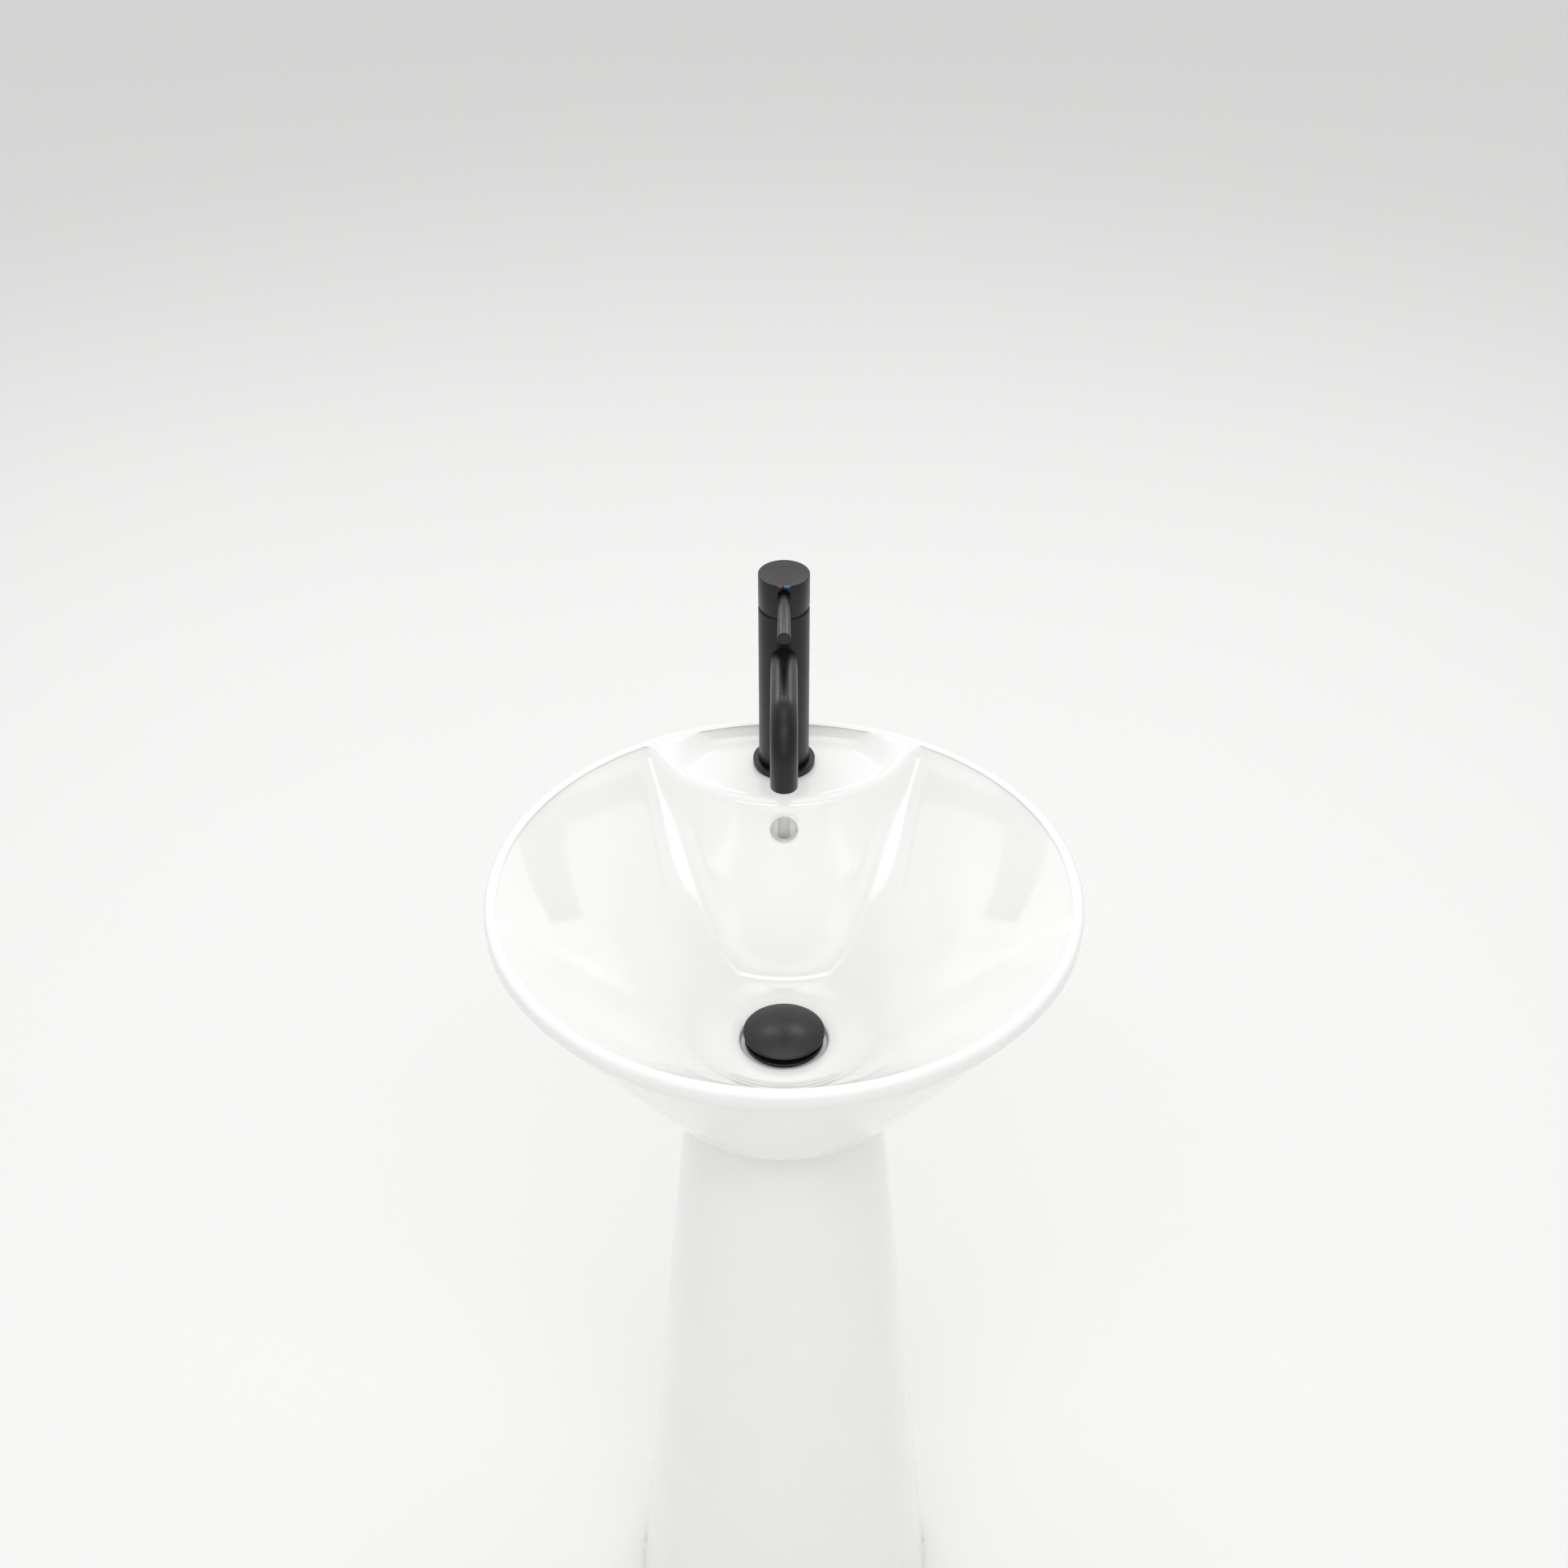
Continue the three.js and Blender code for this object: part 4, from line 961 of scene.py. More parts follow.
@dataclass
class Tap:
    """The tap, without its handle. Heights are in millimetres above the deck."""

    radius: float = 21.0
    socket: tuple[float, float] = (15.3, 18.0)
    cavity: tuple[float, float] = (15.0, 130.0)
    flange_radius: float = 26.2
    spout_z: float = 117.2
    spout_radius: float = 11.0
    spout_bore: float = 8.6
    straight_end: float = -87.7
    bend: float = 31.0
    outlet_z: float = 61.9
    dome_radius: float = 21.0
    pivot_z: float = 143.5
    deck: Vector = field(init=False)

    def __post_init__(self) -> None:
        """Finds the tap's axis and the deck below it."""
        axis = middle_mm("tap_body")
        self.deck = Vector((axis.x, axis.y, corners_mm("tap_base_gasket")[0].z - 0.3))

    def here(self, x: float = 0, y: float = 0, z: float = 0) -> Matrix:
        """A place measured from the tap's axis at the deck."""
        return Matrix.Translation(self.deck + Vector((x, y, z)))

    def turned_here(self, name: str, outline: Outline, finish: Finish, node: str, steps: int = 96,
                    x: float = 0, y: float = 0) -> bpy.types.Object:
        """A turned piece of the tap on an upright axis, dressed and placed."""
        return place_piece(turned(name, outline, steps, self.here(x, y)), finish, "sink", node)

    def build(self) -> None:
        """Builds the fixed pieces from the deck up, then those below it."""
        hole = self.socket[0]
        rim = self.flange_radius - 0.6
        self.turned_here("base_gasket", rounded([
            (hole, 0.3, 0.3), (rim, 0.3, 0.5), (rim, 1.7, 0.5), (hole, 1.7, 0.3),
        ], 4), RUBBER, "tap_base_gasket")
        self.turned_here("base_flange", rounded([
            (hole, 2, 0.3), (self.flange_radius, 2, 0.4), (self.flange_radius, 6.5, 0.9), (21.6, 6.5, 0.2),
            (21.4, 6.1, 0.1), (hole, 6.1, 0.3),
        ], 5), BLACK_COAT, "tap_base_flange", 128)
        self.body()
        self.spout()
        self.aerator()
        self.cartridge()
        self.fixings()

    def body(self) -> None:
        """The upright body, bored for the shank, the water and the cartridge."""
        high = corners_mm("tap_body")[1].z - self.deck.z
        low = corners_mm("tap_body")[0].z - self.deck.z
        hole, hole_top = self.socket
        cavity, floor = self.cavity
        outline = rounded([
            (hole, low, 0.3), (self.radius, low, 0.5), (self.radius, high, 0.55), (cavity, high, 0.4),
            (cavity, floor, 0.5), (5.5, floor, 0.3), (5.5, hole_top, 0.3), (hole, hole_top, 0.3),
        ], 5)
        body = turned("mixer_body", outline, 128, self.here())
        port = post(9.3, 4, 30, facing("-y", self.deck + Vector((0, 0, self.spout_z))))
        place_piece(carved(body, Carve.CUT, port), BLACK_COAT, "sink", "tap_body")

    def spout(self) -> None:
        """The bent spout: a ring drawn straight out, round the bend and down to the outlet."""
        bm = bmesh.new()
        sides = 56
        ring = bmesh.ops.create_circle(bm, segments=sides, radius=self.spout_radius, cap_ends=False)["verts"]
        bmesh.ops.rotate(bm, verts=ring, cent=(0, 0, 0), matrix=Matrix.Rotation(math.pi / 2, 3, "X"))
        bmesh.ops.translate(bm, verts=ring, vec=(0, -12, self.spout_z))
        bend_end_y = self.straight_end - self.bend

        def draw(edges: list, move: Vector) -> list:
            """Extrudes a ring of edges by a move and returns the new ring."""
            made = bmesh.ops.extrude_edge_only(bm, edges=edges)["geom"]
            bmesh.ops.translate(bm, verts=[v for v in made if isinstance(v, bmesh.types.BMVert)], vec=move)
            return [e for e in made if isinstance(e, bmesh.types.BMEdge)]

        def bent(edges: list, steps: int) -> list:
            """Spins a ring of edges a quarter turn round the bend and returns the last ring."""
            verts = list({v for e in edges for v in e.verts})
            made = bmesh.ops.spin(
                bm, geom=edges + verts, cent=(0, self.straight_end, self.spout_z - self.bend), axis=(1, 0, 0),
                dvec=(0, 0, 0), angle=math.pi / 2, steps=steps, use_merge=False, use_duplicate=False,
            )["geom_last"]
            return [e for e in made if isinstance(e, bmesh.types.BMEdge)]

        def narrowed(edges: list, factor: float, move: Vector) -> list:
            """Extrudes a ring towards its own middle."""
            made = bmesh.ops.extrude_edge_only(bm, edges=edges)["geom"]
            verts = [v for v in made if isinstance(v, bmesh.types.BMVert)]
            centre = sum((v.co for v in verts), Vector()) / len(verts)
            bmesh.ops.scale(bm, verts=verts, vec=(factor,) * 3, space=Matrix.Translation(-centre))
            bmesh.ops.translate(bm, verts=verts, vec=move)
            return [e for e in made if isinstance(e, bmesh.types.BMEdge)]

        first = [e for e in bm.edges]
        edges = draw(first, Vector((0, (self.straight_end + 12) / 2, 0)))
        edges = draw(edges, Vector((0, (self.straight_end + 12) / 2, 0)))
        edges = bent(edges, 32)
        drop = self.spout_z - self.bend - self.outlet_z
        edges = draw(edges, Vector((0, 0, 0.5 - drop)))
        lip = ((10.93, -0.22), (10.75, -0.18), (10.5, -0.1), (9.95, 0.0), (9.75, 0.12), (9.6, 0.4))
        for radius, down in lip:
            now = (edges[0].verts[0].co - Vector((0, bend_end_y, edges[0].verts[0].co.z))).length
            edges = narrowed(edges, radius / now, Vector((0, 0, down)))
        edges = draw(edges, Vector((0, 0, 12.6)))
        edges = narrowed(edges, self.spout_bore / 9.6, Vector())
        top = self.spout_z - self.bend - edges[0].verts[0].co.z
        edges = draw(edges, Vector((0, 0, top)))
        verts = list({v for e in edges for v in e.verts})
        back = bmesh.ops.spin(
            bm, geom=edges + verts, cent=(0, self.straight_end, self.spout_z - self.bend), axis=(-1, 0, 0),
            dvec=(0, 0, 0), angle=math.pi / 2, steps=32, use_merge=False, use_duplicate=False,
        )["geom_last"]
        edges = [e for e in back if isinstance(e, bmesh.types.BMEdge)]
        draw(edges, Vector((0, -12 - self.straight_end, 0)))
        bmesh.ops.bridge_loops(bm, edges=[e for e in bm.edges if e.is_boundary])
        bmesh.ops.remove_doubles(bm, verts=bm.verts, dist=1e-4)
        bmesh.ops.recalc_face_normals(bm, faces=bm.faces)
        spout = as_object("spout_tube", bm, self.here())
        saddle = post(self.radius + 0.3, 90, 150, self.here(), 128)
        carved(spout, Carve.CUT, saddle)
        softened(spout, 0.35, 3, 50)
        place_piece(spout, BLACK_COAT, "sink", "tap_spout")

    def aerator(self) -> None:
        """The ring and the strainer in the spout's mouth."""
        y = self.straight_end - self.bend
        low = self.outlet_z + 0.5
        self.turned_here("aerator_ring", rounded([
            (6.4, low, 0.3), (9.3, low, 0.4), (9.3, low + 12.2, 0.3), (7.6, low + 12.2, 0.3),
            (7.6, low + 1.2, 0.2), (6.4, low + 1.2, 0.2),
        ], 4), BLACK_COAT, "aerator_housing", 64, 0, y)
        strainer = turned("strainer", rounded([
            (0, low + 1.6), (7.2, low + 1.6, 0.4), (7.2, low + 10.5, 0.4), (0, low + 10.5),
        ], 3, closed=False), 48, self.here(0, y))
        holes = [(0.0, 0.0)]
        for ring_radius, count in ((2.1, 6), (4.2, 12), (5.9, 18)):
            holes += round_places(ring_radius, count)
        drills = [post(0.62, low, low + 12, self.here(x, y + dy), 12) for x, dy in holes]
        place_piece(carved(strainer, Carve.CUT, *drills), GREY_PLASTIC, "sink", "aerator_insert")

    def cartridge(self) -> None:
        """The cartridge and what holds it, inside the body and the cap."""
        self.turned_here("cartridge_case", rounded([
            (3, 130.3, 0.3), (14.7, 130.3, 0.5), (14.7, 147, 0.5),
            (9.3, 147, 0.4), (9.3, 136, 0.3), (3, 136, 0.3),
        ], 4), WHITE_PLASTIC, "cartridge_housing", 64)
        self.turned_here("cartridge_ring_nut", rounded([
            (9.6, 147.3, 0.3), (14.7, 147.3, 0.3), (14.7, 154.5, 0.5), (9.6, 154.5, 0.6),
        ], 4), BRASS, "cartridge_nut", 64)
        section = rounded([(0, 136.3), (9, 136.3, 0.4), (9, 146.7, 0.4), (0, 146.7)], 4, False)
        carrier = turned("cartridge_slider", section, 64, self.here())
        slot = prism("slot", [(-2.6, -12), (2.6, -12), (2.6, 12), (-2.6, 12)], 14, self.here(0, 0, 138))
        pin_hole = post(1.45, -12, 12, facing("+x", self.deck + Vector((0, 0, self.pivot_z))), 32)
        carved(carrier, Carve.CUT, slot, pin_hole)
        place_piece(carrier, GREY_PLASTIC, "cartridge", "cartridge_carrier")
        section = rounded([(0, -8.2), (1.2, -8.2, 0.25), (1.2, 8.2, 0.25), (0, 8.2)], 3, False)
        pin = turned("pivot_pin", section, 32, facing("+x", self.deck + Vector((0, 0, self.pivot_z))))
        place_piece(pin, STEEL, "cartridge", "cartridge_pivot_pin")
        base = 155.8

        def dome(radius: float, start: float, end: float, steps: int) -> Outline:
            """Part of a ball round the tilting axis, between two distances from the tap's axis."""
            places = np.linspace(start, end, steps)
            return [(x, self.pivot_z + math.sqrt(radius ** 2 - x * x)) for x in places]

        outer = dome(self.dome_radius, 16.6, 10.5, 10)
        inner = dome(self.dome_radius - 1.5, 9.9, 14.6, 8)
        self.turned_here("trim_ring", [(15, base), (20.1, base), (20.2, base + 0.1), (20.2, base + 0.55),
                                       (20.05, base + 0.7), *outer, *inner], BLACK_SATIN, "tap_trim_dome", 96)

    def fixings(self) -> None:
        """The threaded shank, its clamp and the two inlets, below the deck."""
        pitch, depth = 1.5, 0.55
        low, high = -48.0, 17.7
        thread: Outline = []
        z = high - 1
        while z > low + pitch:
            thread += [(15.0, z), (15.0, z - 0.25), (15.0 - depth, z - pitch / 2), (15.0, z - pitch + 0.25)]
            z -= pitch
        outline = [(12.0, high), (12.0, low), (14.3, low), *reversed(thread), (14.6, high)]
        self.turned_here("shank_thread", outline, BRASS, "tap_shank", 64)
        for name, side in (("hot", -1), ("cold", 1)):
            tail = turned(f"inlet_tail_{name}", rounded([
                (3, -60, 0.3), (4.1, -60, 0.3), (4.5, -58.5), (4.5, -50, 0.2), (4.1, -49.5), (4.1, -48.5),
                (4.5, -48, 0.2), (4.5, 17.7, 0.3), (3, 17.7, 0.2),
            ], 3), 40, self.here(6.2 * side, 3))
            place_piece(tail, BRASS, "sink", f"inlet_nipple_{name}")
        hole = 15.3
        self.turned_here("clamp_rubber_ring", rounded([
            (hole, -12.2, 0.4), (22, -12.2, 0.6), (22, -10.3, 0.6), (hole, -10.3, 0.4),
        ], 4), RUBBER, "tap_clamp_rubber", 64)
        self.turned_here("clamp_steel_washer", rounded([
            (hole, -14, 0.2), (21, -14, 0.3), (21, -12.5, 0.3), (hole, -12.5, 0.2),
        ], 3), STEEL, "tap_clamp_washer", 64)
        nut = hex_nut("clamp_hex_nut", 20, hole, -24, -14.3, self.here())
        place_piece(nut, BRASS, "sink", "tap_clamp_nut")


def hex_nut(name: str, corner_radius: float, hole: float, low: float, high: float,
            matrix: Matrix) -> bpy.types.Object:
    """A hexagon nut with turned-down corners.

    Args:
        name: the piece's name.
        corner_radius: radius across its corners.
        hole: radius of its hole.
        low: height of its lower face.
        high: height of its upper face.
        matrix: where its axis goes.

    Returns:
        The nut.
    """
    corners = [(y, x) for x, y in round_places(corner_radius, 6)]
    body = prism(name, corners[::-1], high - low, matrix @ at(0, 0, low))
    flat = corner_radius * math.cos(math.pi / 6)
    rise = (corner_radius - flat) * 0.6
    blank = turned("blank", [
        (0, low), (flat, low), (corner_radius, low + rise),
        (corner_radius, high - rise), (flat, high), (0, high),
    ], 72, matrix)
    carved(body, Carve.KEEP, blank)
    carved(body, Carve.CUT, post(hole, low - 2, high + 2, matrix, 64))
    return softened(body, 0.35, 2, 30)


@dataclass
class Handle:
    """The tap's cap and lever, which turn and tilt. Heights are in millimetres above the tilting axis."""

    radius: float = 21.0
    inner: float = 18.0
    ceiling: float = 26.0
    top: float = 43.8
    front_gap: float = 13.5
    rear_gap: float = 20.6
    lever_z: float = 34.5
    lever_root: float = -18.3
    lever_tip: float = -83.0
    screw_z: float = 32.0
    mark_nodes: tuple[str, str] = ("hot_mark", "cold_mark")
    pivot: Vector = field(init=False)

    def __post_init__(self) -> None:
        """Finds the tilting axis."""
        self.pivot = Vector(next(j for j in frame["joints"] if j["name"] == "handle_lift")["pos_m"]) / MM

    def here(self, x: float = 0, y: float = 0, z: float = 0) -> Matrix:
        """A place measured from the middle of the tilting axis."""
        return Matrix.Translation(self.pivot + Vector((x, y, z)))

    def build(self) -> None:
        """Builds the cap, the lever, the stem and the small pieces on them."""
        self.cap()
        self.lever()
        self.marks()
        section = rectangle(-2.3, 2.3, -3, 3, 0.4)
        stem = prism("stem_bar", section, 42, self.here(0, 0, -4.5), edge=0.3)
        carved(stem, Carve.CUT, post(1.45, -5, 5, facing("+x", self.pivot), 32))
        place_piece(stem, BRASS, "handle", "handle_stem")
        section = rounded([(0, 0), (2.2, 0, 0.2), (3, 1, 0.1), (3, 10.2, 0.3), (0, 10.2)], 3, False)
        screw = turned("grub_screw", section, 32, facing("+y", self.pivot + Vector((0, 3.3, self.screw_z))))
        place_piece(screw, STEEL, "handle", "handle_grub_screw")
        section = rounded([(0, 0), (4.7, 0, 0.3), (4.7, 4.8, 0.6), (0, 4.8)], 4, False)
        plug = turned("screw_cover", section, 48, facing("+y", self.pivot + Vector((0, 14.8, self.screw_z))))
        place_piece(plug, BLACK_SATIN, "handle", "handle_screw_plug")

    def blank(self, name: str) -> bpy.types.Object:
        """The cap's outside, before anything is cut from it."""
        outline = rounded([(0, 10), (self.radius, 10), (self.radius, self.top, 0.7), (0, self.top)], 5, False)
        return turned(name, outline, 128, self.here())

    def cap(self) -> None:
        """The cap: a solid top with a hollow skirt, cut off at a slant below."""
        cap = self.blank("handle_cap_shell")
        slope = math.atan2(self.rear_gap - self.front_gap, 2 * self.radius)
        middle = (self.rear_gap + self.front_gap) / 2
        wedge = prism("wedge", [(-40, -40), (40, -40), (40, 40), (-40, 40)], 30,
                      self.here(0, 0, middle) @ Matrix.Rotation(slope, 4, "X") @ at(0, 0, -30))
        room = post(self.inner, 0, self.ceiling, self.here(), 96)
        square = [(-2.6, -3.3), (2.6, -3.3), (2.6, 3.3), (-2.6, 3.3)]
        socket = prism("socket", square, 18, self.here(0, 0, 20))
        lever_seat = turned("seat", [
            (0, -6), (2.8, -6), (2.8, 0), (5.4, 0), (5.4, 2.2), (6.1, 2.9), (6.1, 8), (0, 8)], 48,
            facing("-y", self.pivot + Vector((0, self.lever_root + 0.3, self.lever_z))))
        screw_seat = turned("seat", [
            (0, 0), (3.3, 0), (3.3, 11.5), (5, 11.5), (5, 17.3), (5.4, 17.7), (5.4, 22), (0, 22)], 48,
            facing("+y", self.pivot + Vector((0, 3, self.screw_z))))
        mark_seats = [self.mark_block("seat", node, 0.15) for node in self.mark_nodes]
        carved(cap, Carve.CUT, wedge, room, socket, lever_seat, screw_seat, *mark_seats)
        softened(cap, 0.35, 3, 40)
        place_piece(cap, BLACK_COAT, "handle", "handle_cap")

    def lever(self) -> None:
        """The lever: a rod that widens to its flat, dished end."""
        length = self.lever_root - self.lever_tip
        outline = rounded([
            (0, -8.4), (2.5, -8.4, 0.3), (2.5, 0, 0.1), (4.5, 0, 0.5), (5.2, length, 0.55),
            (4.1, length, 0.25), (3.8, length - 0.5, 0.2), (0, length - 0.5)], 5, False)
        root = self.pivot + Vector((0, self.lever_root, self.lever_z))
        lever = turned("lever_rod", outline, 64, facing("-y", root))
        place_piece(lever, BLACK_SATIN, "handle", "lever_pin")

    def mark_block(self, name: str, node: str, clearance: float) -> bpy.types.Object:
        """A block round a mark on the cap's top front edge, open to the front and above.

        Args:
            name: the block's name.
            node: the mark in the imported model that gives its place.
            clearance: the gap left beside, behind and below the mark.

        Returns:
            The block.
        """
        low, high = corners_mm(node)
        side = (low.x - clearance, high.x + clearance)
        deep = (low.y - 3, high.y + clearance)
        outline = [(side[0], deep[0]), (side[1], deep[0]), (side[1], deep[1]), (side[0], deep[1])]
        return prism(name, outline, high.z - low.z + clearance + 3, at(0, 0, low.z - clearance))

    def marks(self) -> None:
        """The red and the blue mark, flush with the cap."""
        for node, finish in zip(self.mark_nodes, (RED_ENAMEL, BLUE_ENAMEL)):
            inlay = carved(self.mark_block(f"{node}_inlay", node, 0.0), Carve.KEEP, self.blank("blank"))
            place_piece(inlay, finish, "handle", node)


# ------------------------------------------------------------------ waste


@dataclass
class Waste:
    """The push-open waste. Heights are in millimetres above the recess in the bowl."""

    tube: tuple[float, float, float] = (18.0, 21.0, -76.0)
    flange_radius: float = 32.5
    flange_top: float = 4.3
    dome_radius: float = 33.7
    dome_edge: float = 10.2
    dome_crown: float = 18.6
    recess: float = 686.0

    def here(self, x: float = 0, y: float = 0, z: float = 0) -> Matrix:
        """A place measured from the middle of the recess."""
        return at(x, y, self.recess + z)

    def build(self) -> None:
        """Builds the plug, the body and what clamps it."""
        self.plug()
        self.body()
        hole = self.tube[1] + 0.3
        low = -38.0
        rings = (
            ("upper_gasket_ring",
             [(hole, 0.3, 0.4), (31, 0.3, 0.5), (31, 1.7, 0.5), (hole, 1.7, 0.4)],
             RUBBER, "waste_upper_gasket"),
            ("lower_gasket_cone",
             [(hole, low - 7, 0.5), (28, low - 7, 1), (33, low - 3, 1), (33, low - 0.3, 0.8),
              (hole, low - 0.3, 0.5)],
             RUBBER, "waste_lower_gasket"),
            ("slip_washer",
             [(hole, low - 8.8, 0.2), (30, low - 8.8, 0.4), (30, low - 7.3, 0.4), (hole, low - 7.3, 0.2)],
             WHITE_PLASTIC, "waste_washer"),
        )
        for name, section, finish, node in rings:
            place_piece(turned(name, rounded(section, 4), 96, self.here()), finish, "sink", node)
        nut = hex_nut("back_hex_nut", 34, hole, low - 20, low - 9.1, self.here())
        place_piece(nut, BRASS, "sink", "waste_back_nut")

    def plug(self) -> None:
        """The dome, its seal, its stem, the click housing and the spring."""
        edge, crown = self.dome_edge, self.dome_crown
        shoulder = edge + 2.9
        rise = crown - shoulder
        reach = self.dome_radius - 0.9
        sphere = (reach ** 2 + rise ** 2) / (2 * rise)
        skin = [(x, crown - sphere + math.sqrt(sphere ** 2 - x * x)) for x in np.linspace(reach, 0, 30)]
        under = [
            (0, edge + 4), (3.4, edge + 4), (3.4, 2.5), (6.4, 2.5),
            (6.4, edge + 1.8), (31.2, edge + 1.8), (31.2, edge + 0.1), (32.7, edge),
        ]
        roll = arc((self.dome_radius - 1.6, edge + 1.6), 1.6, -60, 36, 8)
        dome = turned("plug_dome_shell", under + roll + skin, 128, self.here())
        place_piece(dome, PLUG_COAT, "plug", "plug_dome")
        seal = rounded([
            (23.5, edge - 0.2, 0.7), (30.5, edge - 0.2, 0.7),
            (30.5, edge + 1.5, 0.4), (23.5, edge + 1.5, 0.4),
        ], 4)
        place_piece(turned("plug_seal_ring", seal, 96, self.here()), RUBBER, "plug", "plug_seal")
        stem = rounded([
            (0, -33), (2.6, -33, 0.5), (2.6, -17.7), (5.2, -17.7, 0.3), (5.2, -15.7, 0.3), (3, -15.7),
            (3, edge + 3.7, 0.4), (0, edge + 3.7)], 3, False)
        place_piece(turned("plug_stem_rod", stem, 40, self.here()), BRASS, "plug", "plug_stem")
        case = rounded([
            (3.2, -34, 0.2), (8, -34, 0.4), (8, -28.6), (9.6, -28.6, 0.3), (9.6, -26, 0.3), (8, -26),
            (8, -4, 0.5), (5.6, -4, 0.4), (5.6, -31), (3.2, -31, 0.2)], 3)
        place_piece(turned("click_case", case, 48, self.here()), WHITE_PLASTIC, "sink", "click_housing")
        self.spring()

    def spring(self) -> None:
        """The wire spring below the stem's collar, with a closed coil at each end."""
        low, high = corners_mm("click_spring")
        turns, wire, coil = 5.5, 0.42, 4.3
        count = int(turns * 20)
        points = []
        for i in range(count + 1):
            share = i / count
            climb = 0.5 - 0.5 * math.cos(math.pi * share)
            z = low.z + wire + (high.z - low.z - 2 * wire) * (0.35 * climb + 0.65 * share)
            turn = TAU * turns * share
            points.append(Vector((coil * math.cos(turn), coil * math.sin(turn), z)))
        place_piece(tube_along("click_spring_wire", points, wire, 12), STEEL, "sink", "click_spring")

    def body(self) -> None:
        """The waste's flange and tube, with overflow slots and the bridge that holds the click housing."""
        inner, outer, low = self.tube
        outline = rounded([
            (inner, low, 0.4), (outer - 0.8, low, 0.3), (outer, low + 1), (outer, 2, 0.3),
            (self.flange_radius, 2, 0.4), (self.flange_radius, self.flange_top, 0.9),
            (26.5, self.flange_top, 0.8), (inner, 0, 1.5)], 5)
        body = turned("waste_flange_tube", outline, 128, self.here())
        slots = []
        for turn in (0, math.pi / 2):
            section = rounded([(-7, -26, 3), (7, -26, 3), (7, -14, 3), (-7, -14, 3)], 5)
            slots.append(prism("slot", section, 64, self.here() @ Matrix.Rotation(turn, 4, "Z")
                               @ at(0, 32) @ Matrix.Rotation(math.pi / 2, 4, "X")))
        carved(body, Carve.CUT, *slots)
        hub = turned("hub", rectangle(8.3, 10.5, -34, -29, 0.4), 48, self.here())
        bar = [(9, -1.4), (19.5, -1.4), (19.5, 1.4), (9, 1.4)]
        arms = []
        for i in range(3):
            turn = Matrix.Rotation(TAU * i / 3 + math.pi / 6, 4, "Z")
            arms.append(prism("arm", bar, 4.6, self.here(0, 0, -33.8) @ turn))
        carved(body, Carve.JOIN, *arms, hub)
        place_piece(body, PLUG_COAT, "sink", "waste_body")


# ------------------------------------------------------------------ trap


